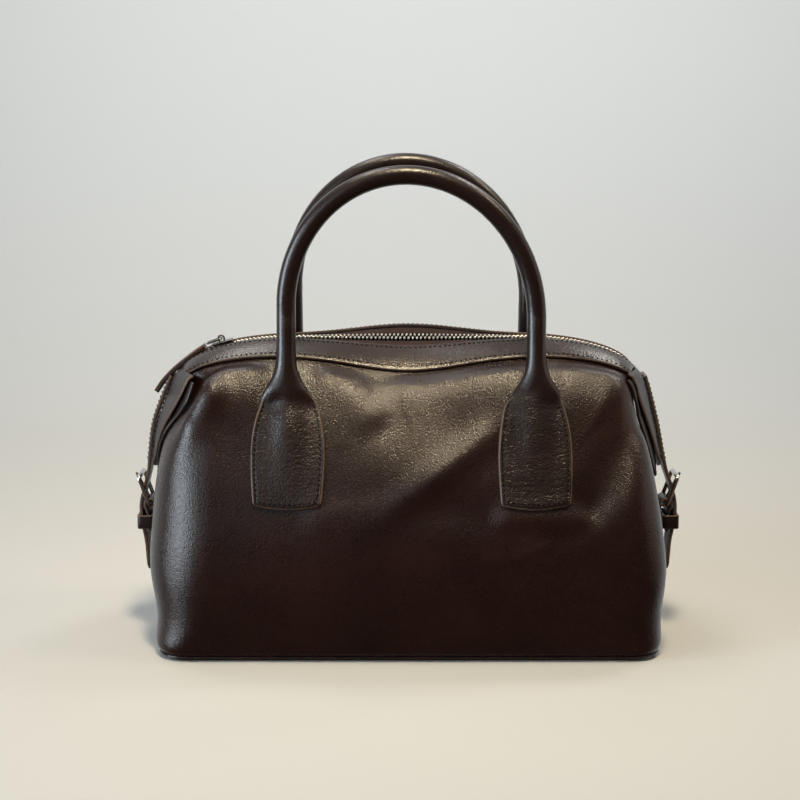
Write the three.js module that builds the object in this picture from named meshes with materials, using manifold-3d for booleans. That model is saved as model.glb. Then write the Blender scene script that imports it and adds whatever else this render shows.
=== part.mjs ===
// A small bowling handbag of soft brown leather, standing closed on its base. Millimetres, +Z up.
// -Y is the front, the zip runs along X, and the origin lies on the ground under the middle of the base.

import * as THREE from "three";
import { mergeVertices } from "three/addons/utils/BufferGeometryUtils.js";
import Module from "manifold-3d";

const wasm = await Module();
wasm.setup();

// Thicknesses of the leather and cloth, and the clearance between pieces that are sewn or laid on each other
const WALL = 2.0;
const BAND = 1.6;
const STRAP = 2.0;
const TAPE = 0.8;
const GAP = 0.3;

// The body is lofted through these sections, from the seam at the base up to the zip. z is the height and depth the
// half depth. left and right are the half lengths at the corners of each end, leftTurn and rightTurn the radii there,
// and seam is the half length in the middle of the ends. crown swells the face, sag lowers the middle of the front,
// rise lifts the middle of the back, and drop is how much of the zip's fall towards the ends the section takes.
const SECTION_COLUMNS = [
  "z", "depth", "left", "right", "seam", "leftTurn", "rightTurn", "crown", "sag", "rise", "drop",
];
const SECTIONS = [
  [2.6, 68.5, 146.5, 147, 146, 17, 16, 0, 0, 0, 0],
  [8, 71.5, 149.5, 149.5, 148, 22, 20, 0.5, 0, 0, 0],
  [24, 73, 149.5, 149.5, 148, 30, 23, 1.5, 0, 0, 0],
  [50, 73, 154, 152, 150, 38, 25, 2, 0, 0, 0],
  [76, 69.5, 153, 149.5, 147.5, 40, 24, 3, 0, 0, 0],
  [100, 62.5, 150.5, 145.5, 143, 38, 21, 3, 0, 0, 0],
  [122, 54, 146, 141, 139, 34, 18, 2.5, 1, 0, 0],
  [142, 45.5, 139.5, 136, 136, 28, 15, 2, 4, 0, 0.2],
  [157, 37, 136.5, 133.5, 135, 21, 12, 1.5, 7, 0.5, 0.4],
  [168, 28.5, 134.5, 132, 136, 15, 10, 1, 9.5, 2, 0.6],
  [176, 19, 134.5, 132.5, 136.5, 10, 8, 0.5, 7.5, 4.5, 0.85],
  [180.5, 9.5, 135.5, 134.5, 136.5, 6, 6, 0, 4.5, 6, 0.97],
  [181.5, 0.6, 135.5, 135.5, 135.5, 0.5, 0.5, 0, 0, 0, 1],
];
const SAG_SPREAD = 45; // half length of the dip between the handles
const ZIP_SHOULDER = 70; // distance from the middle at which the zip starts to fall
const ZIP_FALL = { long: 66, high: 22 }; // the fall is a quarter of this ellipse

// Where the walls and the bands end, counted in sections from the base seam
const PANEL_LEVELS = [0, 0.5, 1, 1.7, 2.4, 3.2, 4, 4.8, 5.6, 6.4, 7.1, 7.8, 8.4, 9, 9.55, 10.1];
const BAND_FOOT = 9.55;
const BAND_END_FOOT = 9.0; // the bands reach lower where they meet at the ends
const BAND_GAP = 0.5; // between the panels and the bands sewn over them
const BAND_HEAD_DEPTH = 8.6;
const TAPE_FOOT = 10.3;
const TAPE_HEAD_DEPTH = 3.2;
const TAPE_SINK = 0.1; // how far the tapes lie under the face of the panels

// Each half of the body runs round five stretches: end, corner, face, corner and end
const FACE_SHARE = 0.64;
const CORNER_SHARE = 0.84;
const FACE_STEPS = 18;
const CORNER_STEPS = 4;
const END_STEPS = 3;

// Folds in the leather, seen from that face: the place, the turn from level, the size, and how deep it goes in
const FRONT_FOLDS = [
  { x: -127, z: 156, turn: 48, long: 17, wide: 7, deep: 5 }, // hollow behind the left corner
  { x: -122, z: 141, turn: 60, long: 26, wide: 7, deep: -3 }, // ridge in front of that hollow
  { x: 8, z: 143, turn: 0, long: 36, wide: 18, deep: 2.5 }, // dish between the handles
  { x: 20, z: 112, turn: 36, long: 42, wide: 8, deep: -2 }, // long crease up to the right tab
  { x: 112, z: 112, turn: 58, long: 40, wide: 9, deep: 2 }, // slack beside the right tab
  { x: 40, z: 88, turn: -6, long: 60, wide: 12, deep: 1.5 }, // slack under the right tab
];
const FOLD_FADE = { seam: 0.02, corner: 0.06, band: 0.4 }; // where folds die out, in shares of girth and in levels
const BACK_FOLDS = [
  { x: -4, z: 140, turn: 0, long: 40, wide: 18, deep: 2 }, // dish between the handles
  { x: -8, z: 100, turn: -32, long: 30, wide: 12, deep: 1.5 }, // slack between the tabs
];

// Base
const BASE_THICK = 2.3;
const BASE_INSET = 0.6; // how far its edge stays inside the seam

// Handles: tabs that flare out over the panels, legs, and an arch that is half an ellipse
const TAB_REACH = 71.5; // from the middle of the handle to each tab
const LEG_REACH = 73;
const HANDLE_MIDDLE = { legs: 1.6, top: -1.4 }; // how far the handles stand to the right of the middle
const HANDLE_RADIUS = 5.65;
const HANDLE_TOPS = { front: 286, back: 291 };
const ARCH_TALL = 80;
const ARCH_STEPS = 18;
const HANDLE_SIDES = 12;
const TAB_BOW = 2.3; // how far the foot of a tab bows down
const TAB_GAP = 0.45;
// Sections of a tab on the leather: height, half width, thickness of the edge, and the hump of the rolled leather
const TAB_ROWS = [
  { z: 92.5, half: 20.0, edge: 2.6, hump: 0 },
  { z: 101, half: 20.6, edge: 2.6, hump: 0.2 },
  { z: 110, half: 21.2, edge: 2.6, hump: 0.8 },
  { z: 120, half: 21.5, edge: 2.6, hump: 1.8 },
  { z: 130, half: 20.9, edge: 2.6, hump: 3.2 },
  { z: 139, half: 19.3, edge: 2.6, hump: 4.8 },
  { z: 147, half: 16.8, edge: 2.8, hump: 6.2 },
];
// Sections of a leg above the tab: height, distance from the zip, half width and half thickness
const LEG_ROWS = [
  { z: 157, y: 43.2, half: 12.6, thick: 5.0 },
  { z: 164, y: 41.4, half: 8.4, thick: 5.5 },
  { z: 171, y: 39.7, half: 6.2, thick: 5.65 },
  { z: 182, y: 37.4, half: 5.65, thick: 5.65 },
  { z: 195, y: 35.5, half: 5.65, thick: 5.65 },
];
const ARCH_Y = 34.3;

// Zip
const CHAIN = { half: 2.8, above: 1.4, below: 1.0, end: 132.5, steps: 30 };
const SLIDER_X = -112;
const SLIDER = { long: 13, half: 4.6, core: 2.5, plate: 1.2, top: 1.7, bottom: -2.2 };
const BRIDGE = { rise: 1.7, hole: 1.35, wall: 1.0, half: 1.3 }; // the loop on the slider that holds the puller
const PULLER = { bar: 1.4, long: 9.5, half: 3.4, solid: 4, round: 0.6, tilt: 3.5 };
const PULL_TAB = { thick: 2.6, half: 7.0, neck: 4.2 };
const PULL_PATH = [
  { x: 123.4, z: 176.9 },
  { x: 132.5, z: 171.4 },
  { x: 142.8, z: 163.4 },
  { x: 149.5, z: 155.0 },
  { x: 151.7, z: 147.0 },
];

// Leather at the ends: the middle of each strip from its top to its tip, as it lies on the right. slack is how much
// further out it hangs on the left.
const STRIP_STEP = 3.2;
const STRAP_HALF = 8.5;
const SIDE_STRAP = [
  { x: 143.0, z: 159.0, slack: 0 },
  { x: 146.8, z: 146.0, slack: 2 },
  { x: 150.9, z: 130.0, slack: 3.5 },
  { x: 154.4, z: 113.0, slack: 2.5 },
  { x: 157.2, z: 101.0, slack: 1 },
  { x: 160.8, z: 90.5, slack: 0 },
  { x: 163.2, z: 80.0, slack: 0 },
  { x: 162.8, z: 69.0, slack: 0 },
  { x: 160.6, z: 56.0, slack: 0 },
  { x: 159.4, z: 37.5, slack: 0 },
];
const TONGUE_HALF = 13;
const TONGUE = [
  { x: 139.8, z: 160.0, slack: 0 },
  { x: 143.4, z: 147.5, slack: 1.5 },
  { x: 147.8, z: 130.0, slack: 3.2 },
  { x: 151.2, z: 113.5, slack: 2.3 },
  { x: 153.3, z: 103.0, slack: 1.2 },
];
const FLAP_HALF = 16.5;
const FLAP = [
  { x: 141.2, z: 146.0, slack: 1 },
  { x: 145.2, z: 130.0, slack: 3 },
  { x: 148.6, z: 113.0, slack: 2.3 },
  { x: 150.2, z: 96.0, slack: 1.5 },
];
const STRIP_TIP = 7; // length over which a strip rounds off at its tip

// Buckles: a frame that leans out, its lower bar held by the chape, and a prong through the strap
const FRAME = { half: 12, bar: 2.8, thick: 2.4, corner: 3.5 };
const LOWER_BAR = { x: 157.8, z: 79.5 };
const UPPER_BAR = { x: 163.9, z: 97.2 };
const PRONG = { half: 1.3, thick: 1.6, eye: 2.0, wall: 1.2, over: 1.6 };
const PRONG_SLOT = { half: 1.9, low: 80.5, high: 95 };
const CHAPE_THICK = 1.6;
const CHAPE_HALF = 8.3;
const CHAPE_GAP = 1.1; // from the end seam
const CHAPE_LOOP = 3.2; // radius of the fold round the lower bar, at the middle of the leather
const CHAPE_SLOT = { half: 2.2, low: 75.5, high: 84.5, from: 153 };
const CHAPE_HEIGHTS = [38, 47, 56, 64]; // where it lies on the end of the body
const CHAPE_BEND = { inside: 1.8, below: 7 }; // where it leaves the body for the lower bar
const CHAPE_TURNS = [180, 140, 100, 60, 20, -20]; // round the lower bar, in degrees
const CHAPE_STEP = 2.4;
const CHAPE_RETURN = { outside: 0.8, from: 9, to: 17 }; // the outer layer, from the lower bar down
const KEEPER = { low: 64.5, high: 73, wall: 1.5, slack: 0.5 };

const LEATHER = { color: 0x2a1b18, roughness: 0.45, metalness: 0 };
const CLOTH = { color: 0x2c1813, roughness: 0.9, metalness: 0 };
const SILVER = { color: 0xb9b7b2, roughness: 0.3, metalness: 1 };

const bag = new THREE.Group();

// Adds a named mesh with its own material to the bag or to a group in it
function addPiece(name, geometry, look, parent = bag) {
  const mesh = new THREE.Mesh(geometry, new THREE.MeshStandardMaterial(look));
  mesh.name = name;
  parent.add(mesh);
  return mesh;
}

// A geometry from points and triangles, turned so that its faces point outwards
function closedGeometry(points, triangles) {
  let volume = 0;
  for (const [a, b, c] of triangles) {
    const normal = new THREE.Vector3().crossVectors(points[b], points[c]);
    volume += points[a].dot(normal);
  }
  const outward = volume > 0 ? triangles : triangles.map(([a, b, c]) => [a, c, b]);
  const geometry = new THREE.BufferGeometry().setFromPoints(points);
  geometry.setIndex(outward.flat());
  return geometry;
}

// A wall between two faces that are sampled on the same grid of columns and rows
function wallGeometry(columns, rows, outer, inner) {
  const points = [];
  for (const face of [outer, inner]) {
    for (let j = 0; j <= rows; j += 1) {
      for (let i = 0; i <= columns; i += 1) {
        points.push(face(i, j));
      }
    }
  }
  const layer = (columns + 1) * (rows + 1);
  const at = (i, j, face) => face * layer + j * (columns + 1) + i;
  const triangles = [];
  const quad = (a, b, c, d) => triangles.push([a, b, c], [a, c, d]);
  for (let j = 0; j < rows; j += 1) {
    for (let i = 0; i < columns; i += 1) {
      quad(at(i, j, 0), at(i + 1, j, 0), at(i + 1, j + 1, 0), at(i, j + 1, 0));
      quad(at(i, j + 1, 1), at(i + 1, j + 1, 1), at(i + 1, j, 1), at(i, j, 1));
    }
  }
  for (let i = 0; i < columns; i += 1) {
    quad(at(i, 0, 1), at(i + 1, 0, 1), at(i + 1, 0, 0), at(i, 0, 0));
    quad(at(i, rows, 0), at(i + 1, rows, 0), at(i + 1, rows, 1), at(i, rows, 1));
  }
  for (let j = 0; j < rows; j += 1) {
    quad(at(0, j, 0), at(0, j + 1, 0), at(0, j + 1, 1), at(0, j, 1));
    quad(at(columns, j, 1), at(columns, j + 1, 1), at(columns, j + 1, 0), at(columns, j, 0));
  }
  return closedGeometry(points, triangles);
}

// A closed solid through rings of points, with a fan over each end
function loftGeometry(rings) {
  const sides = rings[0].length;
  const points = rings.flat();
  const triangles = [];
  for (let k = 0; k + 1 < rings.length; k += 1) {
    for (let i = 0; i < sides; i += 1) {
      const next = (i + 1) % sides;
      const a = k * sides + i;
      const b = k * sides + next;
      triangles.push([a, b, b + sides], [a, b + sides, a + sides]);
    }
  }
  const last = (rings.length - 1) * sides;
  for (let i = 1; i + 1 < sides; i += 1) {
    triangles.push([0, i + 1, i], [last, last + i, last + i + 1]);
  }
  return closedGeometry(points, triangles);
}

// Solids for cutting and joining
function toSolid(geometry) {
  const bare = geometry.clone();
  bare.deleteAttribute("normal");
  bare.deleteAttribute("uv");
  const merged = mergeVertices(bare, 1e-3);
  const vertProperties = new Float32Array(merged.attributes.position.array);
  const triVerts = new Uint32Array(merged.index.array);
  return new wasm.Manifold(new wasm.Mesh({ numProp: 3, vertProperties, triVerts }));
}

function fromSolid(solid) {
  const mesh = solid.getMesh();
  const geometry = new THREE.BufferGeometry();
  geometry.setAttribute("position", new THREE.BufferAttribute(mesh.vertProperties, mesh.numProp));
  geometry.setIndex(new THREE.BufferAttribute(mesh.triVerts, 1));
  return geometry;
}

function cutBox(geometry, low, high) {
  const size = new THREE.Vector3().subVectors(high, low);
  const middle = new THREE.Vector3().addVectors(low, high).multiplyScalar(0.5);
  const box = new THREE.BoxGeometry(size.x, size.y, size.z).translate(middle.x, middle.y, middle.z);
  return fromSolid(toSolid(geometry).subtract(toSolid(box)));
}

// A column of the section table at a level between its rows, on a smooth curve through them
function sectionValue(column, level) {
  const last = SECTIONS.length - 1;
  const row = THREE.MathUtils.clamp(Math.floor(level), 0, last - 1);
  const share = level - row;
  const place = SECTION_COLUMNS.indexOf(column);
  const value = (index) => SECTIONS[index][place];
  const here = value(row);
  const next = value(row + 1);
  const before = row > 0 ? value(row - 1) : 2 * here - next;
  const after = row + 2 <= last ? value(row + 2) : 2 * next - here;
  const slopeHere = (next - before) / 2;
  const slopeNext = (after - here) / 2;
  const square = share * share;
  const cube = square * share;
  return (
    (2 * cube - 3 * square + 1) * here +
    (cube - 2 * square + share) * slopeHere +
    (3 * square - 2 * cube) * next +
    (cube - square) * slopeNext
  );
}

// The level between two others at which a rising or falling measure has the value that is wanted
function levelWhere(measure, wanted, low, high) {
  const rising = measure(high) > measure(low);
  let below = low;
  let above = high;
  for (let step = 0; step < 40; step += 1) {
    const middle = (below + above) / 2;
    if (measure(middle) < wanted === rising) {
      below = middle;
    } else {
      above = middle;
    }
  }
  return (below + above) / 2;
}

// How far the zip has fallen at a distance x from the middle
function zipFall(x) {
  const along = THREE.MathUtils.clamp((Math.abs(x) - ZIP_SHOULDER) / ZIP_FALL.long, 0, 0.999);
  return ZIP_FALL.high * (1 - Math.sqrt(1 - along * along));
}

function heightAt(level, x, isFront) {
  const dip = Math.exp(-((x / SAG_SPREAD) ** 2));
  const middle = isFront ? -sectionValue("sag", level) : sectionValue("rise", level);
  return sectionValue("z", level) + dip * middle - sectionValue("drop", level) * zipFall(x);
}

// The half length and radius of a corner, with the left end of the bag on the right of the turned back half
function cornerAt(side, level, isFront) {
  const end = side < 0 === isFront ? "left" : "right";
  const radius = Math.min(sectionValue(`${end}Turn`, level), 0.9 * sectionValue("depth", level));
  return { reach: sectionValue(end, level), radius };
}

// Where the face stops and the corner begins
function faceEdge(side, level, isFront) {
  const { reach, radius } = cornerAt(side, level, isFront);
  return side * (reach - radius);
}

// A point on the smooth half body. The girth runs from -1 at the left end seam, round the face, to 1 at the right.
function smoothPoint(girth, level, isFront) {
  const depth = sectionValue("depth", level);
  const side = Math.sign(girth) || 1;
  const away = Math.abs(girth);
  const { reach, radius } = cornerAt(side, level, isFront);
  const point = new THREE.Vector3();
  if (away <= FACE_SHARE) {
    const share = girth / FACE_SHARE;
    const left = faceEdge(-1, level, isFront);
    const right = faceEdge(1, level, isFront);
    point.x = THREE.MathUtils.lerp(left, right, (share + 1) / 2);
    point.y = -depth - sectionValue("crown", level) * (1 - share * share) ** 2;
  } else if (away <= CORNER_SHARE) {
    const turn = ((away - FACE_SHARE) / (CORNER_SHARE - FACE_SHARE)) * (Math.PI / 2);
    point.x = side * (reach - radius + radius * Math.sin(turn));
    point.y = -(depth - radius + radius * Math.cos(turn));
  } else {
    const share = (1 - away) / (1 - CORNER_SHARE);
    point.x = side * THREE.MathUtils.lerp(reach, sectionValue("seam", level), (1 - share * share) ** 2);
    point.y = -(depth - radius) * share;
  }
  point.y -= GAP / 2;
  point.z = heightAt(level, point.x, isFront);
  return point;
}

// The outward direction of a surface that is given by girth and level
function outwardOf(surface, girth, level) {
  const step = 1e-3;
  const along = surface(girth + step, level).sub(surface(girth - step, level));
  const up = surface(girth, level + step).sub(surface(girth, level - step));
  return along.cross(up).normalize();
}

function foldDepth(point, folds) {
  let depth = 0;
  for (const fold of folds) {
    const turn = THREE.MathUtils.degToRad(fold.turn);
    const dx = point.x - fold.x;
    const dz = point.z - fold.z;
    const along = (dx * Math.cos(turn) + dz * Math.sin(turn)) / fold.long;
    const across = (dz * Math.cos(turn) - dx * Math.sin(turn)) / fold.wide;
    depth += fold.deep * Math.exp(-(along * along + across * across));
  }
  return depth;
}

// The half body with its folds, which die out at the end seams and under the bands
function leatherPoint(girth, level, isFront) {
  const surface = (g, l) => smoothPoint(g, l, isFront);
  const point = surface(girth, level);
  const inside = 1 - CORNER_SHARE + FOLD_FADE.corner;
  const fromSeam = THREE.MathUtils.smoothstep(1 - Math.abs(girth), FOLD_FADE.seam, inside);
  const belowBand = 1 - THREE.MathUtils.smoothstep(level, BAND_END_FOOT - FOLD_FADE.band, BAND_FOOT);
  const depth = foldDepth(point, isFront ? FRONT_FOLDS : BACK_FOLDS) * fromSeam * belowBand;
  if (Math.abs(depth) > 1e-4) {
    point.addScaledVector(outwardOf(surface, girth, level), -depth);
  }
  return point;
}

// The same half body, moved outwards by an offset
function offsetPoint(girth, level, isFront, offset) {
  const surface = (g, l) => leatherPoint(g, l, isFront);
  const normal = outwardOf(surface, girth, level);
  if (Math.abs(girth) === 1) {
    normal.y = 0; // both halves meet squarely at the end seam
  }
  return surface(girth, level).addScaledVector(normal.normalize(), offset);
}

// A point over the face of a half body, found from its place in the front view
function facePoint(x, z, isFront, offset) {
  const level = levelWhere((l) => heightAt(l, x, isFront), z, 0, SECTIONS.length - 2);
  const left = faceEdge(-1, level, isFront);
  const right = faceEdge(1, level, isFront);
  const girth = FACE_SHARE * ((2 * (x - left)) / (right - left) - 1);
  return offsetPoint(girth, level, isFront, offset);
}

// The girths of the columns, from the left end seam to the right one
function girthColumns() {
  const stretches = [
    { from: -1, to: -CORNER_SHARE, steps: END_STEPS },
    { from: -CORNER_SHARE, to: -FACE_SHARE, steps: CORNER_STEPS },
    { from: -FACE_SHARE, to: FACE_SHARE, steps: FACE_STEPS },
    { from: FACE_SHARE, to: CORNER_SHARE, steps: CORNER_STEPS },
    { from: CORNER_SHARE, to: 1, steps: END_STEPS },
  ];
  const columns = [-1];
  for (const { from, to, steps } of stretches) {
    for (let k = 1; k <= steps; k += 1) {
      columns.push(from + ((to - from) * k) / steps);
    }
  }
  return columns;
}
const COLUMNS = girthColumns();

// How far a column has gone from the face round to the end seam, eased
function endShare(girth) {
  return THREE.MathUtils.smoothstep(Math.abs(girth), FACE_SHARE - 0.08, 1);
}

function skinGeometry(isFront, levelsAt, rows, outerOffset, innerOffset) {
  const level = (i, j) => levelsAt(COLUMNS[i], j);
  const face = (offset) => (i, j) => offsetPoint(COLUMNS[i], level(i, j), isFront, offset);
  return wallGeometry(COLUMNS.length - 1, rows, face(outerOffset), face(innerOffset));
}

// Body panels
function panelGeometry(isFront) {
  const rows = PANEL_LEVELS.length - 1;
  const top = PANEL_LEVELS[rows];
  const lowered = BAND_FOOT - BAND_END_FOOT;
  const levelsAt = (girth, j) => PANEL_LEVELS[j] * (1 - (endShare(girth) * lowered) / top);
  return skinGeometry(isFront, levelsAt, rows, 0, -WALL);
}

// Bands over the top edges of the panels
function bandGeometry(isFront) {
  const head = levelWhere((l) => sectionValue("depth", l), BAND_HEAD_DEPTH, 9, SECTIONS.length - 1);
  const rows = 3;
  const levelsAt = (girth, j) => {
    const foot = THREE.MathUtils.lerp(BAND_FOOT, BAND_END_FOOT, endShare(girth));
    return THREE.MathUtils.lerp(foot, head, j / rows);
  };
  return skinGeometry(isFront, levelsAt, rows, BAND_GAP + BAND, BAND_GAP);
}

// Cloth tapes, in line with the panels under the bands
function tapeGeometry(isFront) {
  const head = levelWhere((l) => sectionValue("depth", l), TAPE_HEAD_DEPTH, 9, SECTIONS.length - 1);
  const levelsAt = (girth, j) => (j === 0 ? TAPE_FOOT : head);
  return skinGeometry(isFront, levelsAt, 1, -TAPE_SINK, -TAPE_SINK - TAPE);
}

// Base plate under the seam
function baseGeometry() {
  const y = sectionValue("depth", 0) - BASE_INSET;
  const corner = (side, towards, from) => {
    const { reach, radius } = cornerAt(side, 0, true);
    return { cx: side * (reach - BASE_INSET - radius), cy: towards * (y - radius), radius, from };
  };
  const corners = [
    corner(-1, -1, Math.PI),
    corner(1, -1, 1.5 * Math.PI),
    corner(1, 1, 0),
    corner(-1, 1, 0.5 * Math.PI),
  ];
  const outline = new THREE.Shape();
  for (const { cx, cy, radius, from } of corners) {
    outline.absarc(cx, cy, radius, from, from + Math.PI / 2, false);
  }
  return new THREE.ExtrudeGeometry(outline, { depth: BASE_THICK, bevelEnabled: false, curveSegments: 8 });
}

// Handles
function tabRing(side, row, isFront) {
  const ring = [];
  const low = TAB_ROWS[0].z;
  const high = TAB_ROWS[TAB_ROWS.length - 1].z;
  const bow = TAB_BOW * (1 - (row.z - low) / (high - low));
  for (let i = 0; i < HANDLE_SIDES; i += 1) {
    const angle = (2 * Math.PI * i) / HANDLE_SIDES;
    const across = Math.cos(angle);
    const rise = Math.sin(angle);
    const top = row.edge + row.hump * (1 - across * across);
    const lift = Math.abs(rise) < 1e-6 ? row.edge / 2 : rise > 0 ? top : 0;
    const x = legMiddle(isFront) + side * (TAB_REACH + across * row.half);
    const z = row.z - bow * (1 - across * across);
    ring.push(facePoint(x, z, isFront, TAB_GAP + lift));
  }
  return ring;
}

function legMiddle(isFront) {
  return isFront ? HANDLE_MIDDLE.legs : -HANDLE_MIDDLE.legs;
}

function tubeRing(middle, outwards, half, thick) {
  const ring = [];
  for (let i = 0; i < HANDLE_SIDES; i += 1) {
    const angle = (2 * Math.PI * i) / HANDLE_SIDES;
    const point = middle.clone().addScaledVector(outwards, half * Math.cos(angle));
    point.y -= thick * Math.sin(angle);
    ring.push(point);
  }
  return ring;
}

function handleGeometry(isFront) {
  const archFoot = (isFront ? HANDLE_TOPS.front : HANDLE_TOPS.back) - HANDLE_RADIUS - ARCH_TALL;
  const half = (side) => {
    const tab = TAB_ROWS.map((row) => tabRing(side, row, isFront));
    const leg = LEG_ROWS.map(({ z, y, half, thick }) => {
      const middle = new THREE.Vector3(legMiddle(isFront) + side * LEG_REACH, -y, z);
      return tubeRing(middle, new THREE.Vector3(side, 0, 0), half, thick);
    });
    return [...tab, ...leg];
  };
  const arch = [];
  const lean = (HANDLE_MIDDLE.top - HANDLE_MIDDLE.legs) * (isFront ? 1 : -1);
  for (let k = 0; k <= ARCH_STEPS; k += 1) {
    const angle = Math.PI * (1 - k / ARCH_STEPS);
    const outwards = new THREE.Vector3(Math.cos(angle) / LEG_REACH, 0, Math.sin(angle) / ARCH_TALL).normalize();
    const x = legMiddle(isFront) + LEG_REACH * Math.cos(angle) + lean * Math.sin(angle);
    const middle = new THREE.Vector3(x, -ARCH_Y, archFoot + ARCH_TALL * Math.sin(angle));
    arch.push(tubeRing(middle, outwards, HANDLE_RADIUS, HANDLE_RADIUS));
  }
  return loftGeometry([...half(-1), ...arch, ...half(1).reverse()]);
}

// Strips of leather that follow a path in the plane of the zip
function pathPoints(rows, side, step = STRIP_STEP) {
  const places = rows.map(({ x, z, slack = 0 }) => {
    const out = side < 0 ? x + slack : x;
    return new THREE.Vector3(side * out, 0, z);
  });
  const curve = new THREE.CatmullRomCurve3(places);
  return curve.getSpacedPoints(Math.round(curve.getLength() / step));
}

function stripGeometry(points, thick, halfAt) {
  const rings = points.map((point, k) => {
    const before = points[Math.max(k - 1, 0)];
    const after = points[Math.min(k + 1, points.length - 1)];
    const along = new THREE.Vector3().subVectors(after, before).normalize();
    const normal = new THREE.Vector3(-along.z, 0, along.x);
    const half = halfAt(k / (points.length - 1));
    const corner = (y, n) => point.clone().addScaledVector(normal, (n * thick) / 2).setY(y * half);
    return [corner(-1, -1), corner(1, -1), corner(1, 1), corner(-1, 1)];
  });
  return loftGeometry(rings);
}

// Half width of a strip that rounds off over the last few millimetres before its tip
function roundedTip(half, length) {
  return (share) => {
    const left = Math.max((1 - share) * length, 0.5);
    const into = Math.max(1 - left / STRIP_TIP, 0);
    return half * Math.sqrt(1 - 0.85 * into * into);
  };
}

function tippedStrip(rows, side, thick, half) {
  const points = pathPoints(rows, side);
  return stripGeometry(points, thick, roundedTip(half, points.length * STRIP_STEP));
}

// The plane that a flat metal piece is drawn in: its own X to Y of the bag, its own Y along the given direction
function drawnAcross(mesh, middle, upwards) {
  const across = new THREE.Vector3(0, 1, 0);
  const through = new THREE.Vector3().crossVectors(across, upwards);
  mesh.quaternion.setFromRotationMatrix(new THREE.Matrix4().makeBasis(across, upwards, through));
  mesh.position.copy(middle);
}

function roundedRectangle(path, half, low, high, radius) {
  path.absarc(half - radius, low + radius, radius, -Math.PI / 2, 0, false);
  path.absarc(half - radius, high - radius, radius, 0, Math.PI / 2, false);
  path.absarc(radius - half, high - radius, radius, Math.PI / 2, Math.PI, false);
  path.absarc(radius - half, low + radius, radius, Math.PI, 1.5 * Math.PI, false);
  return path;
}

function addBuckle(side, name) {
  const lower = new THREE.Vector3(side * LOWER_BAR.x, 0, LOWER_BAR.z);
  const upper = new THREE.Vector3(side * UPPER_BAR.x, 0, UPPER_BAR.z);
  const upwards = new THREE.Vector3().subVectors(upper, lower);
  const tall = upwards.length();
  upwards.normalize();
  const edge = FRAME.bar / 2;
  const outline = roundedRectangle(new THREE.Shape(), FRAME.half, -edge, tall + edge, FRAME.corner);
  const window = roundedRectangle(new THREE.Path(), FRAME.half - FRAME.bar, edge, tall - edge, FRAME.bar / 2);
  outline.holes.push(window);
  const extrusion = { depth: FRAME.thick, bevelEnabled: false, curveSegments: 4 };
  const geometry = new THREE.ExtrudeGeometry(outline, extrusion).translate(0, 0, -FRAME.thick / 2);
  drawnAcross(addPiece(`buckle_${name}`, geometry, SILVER), lower, upwards);
}

// A prong with an eye round the lower bar, which rests on the upper bar
function addProng(side, name) {
  const lower = new THREE.Vector2(LOWER_BAR.x, LOWER_BAR.z);
  const rest = FRAME.thick / 2 + 2 * GAP + PRONG.thick / 2;
  const frame = new THREE.Vector2(UPPER_BAR.x, UPPER_BAR.z).sub(lower).normalize();
  const upper = new THREE.Vector2(UPPER_BAR.x, UPPER_BAR.z).addScaledVector(frame, PRONG.over);
  upper.add(new THREE.Vector2(frame.y, -frame.x).multiplyScalar(rest));
  const along = new THREE.Vector2().subVectors(upper, lower).normalize();
  const across = new THREE.Vector2(along.y, -along.x);
  const radius = PRONG.eye + PRONG.wall;
  const reach = Math.asin(PRONG.thick / 2 / radius);
  const towards = along.angle();
  const outline = new THREE.Shape();
  outline.absarc(lower.x, lower.y, radius, towards + reach, towards - reach + 2 * Math.PI, false);
  for (const edge of [0.5, -0.5]) {
    const corner = upper.clone().addScaledVector(across, edge * PRONG.thick);
    outline.lineTo(corner.x, corner.y);
  }
  const eye = new THREE.Path().absarc(lower.x, lower.y, PRONG.eye, 0, 2 * Math.PI, false);
  outline.holes.push(eye);
  const extrusion = { depth: 2 * PRONG.half, bevelEnabled: false, curveSegments: 8 };
  const geometry = new THREE.ExtrudeGeometry(outline, extrusion);
  geometry.rotateX(Math.PI / 2).translate(0, PRONG.half, 0);
  const prong = addPiece(`prong_${name}`, geometry, SILVER);
  prong.rotation.z = side < 0 ? Math.PI : 0;
}

// The chape lies on the end of the body, folds over the lower bar and comes down again behind the strap
function chapeRows() {
  const rows = [];
  const seam = (z) => smoothPoint(1, levelWhere((l) => sectionValue("z", l), z, 0, 8), true).x;
  const seated = CHAPE_GAP + CHAPE_THICK / 2;
  for (const z of CHAPE_HEIGHTS) {
    rows.push({ x: seam(z) + seated, z });
  }
  rows.push({ x: LOWER_BAR.x - CHAPE_LOOP - CHAPE_BEND.inside, z: LOWER_BAR.z - CHAPE_BEND.below });
  for (const angle of CHAPE_TURNS) {
    const turn = THREE.MathUtils.degToRad(angle);
    rows.push({ x: LOWER_BAR.x + CHAPE_LOOP * Math.cos(turn), z: LOWER_BAR.z + CHAPE_LOOP * Math.sin(turn) });
  }
  for (const below of [CHAPE_RETURN.from, CHAPE_RETURN.to]) {
    rows.push({ x: LOWER_BAR.x + CHAPE_RETURN.outside, z: LOWER_BAR.z - below });
  }
  return rows;
}

function chapeGeometry(side) {
  const points = pathPoints(chapeRows(), side, CHAPE_STEP);
  const strip = stripGeometry(points, CHAPE_THICK, () => CHAPE_HALF);
  const near = side * CHAPE_SLOT.from;
  const far = side * (LOWER_BAR.x + 2 * CHAPE_LOOP);
  const low = new THREE.Vector3(Math.min(near, far), -CHAPE_SLOT.half, CHAPE_SLOT.low);
  const high = new THREE.Vector3(Math.max(near, far), CHAPE_SLOT.half, CHAPE_SLOT.high);
  return cutBox(strip, low, high);
}

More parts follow.
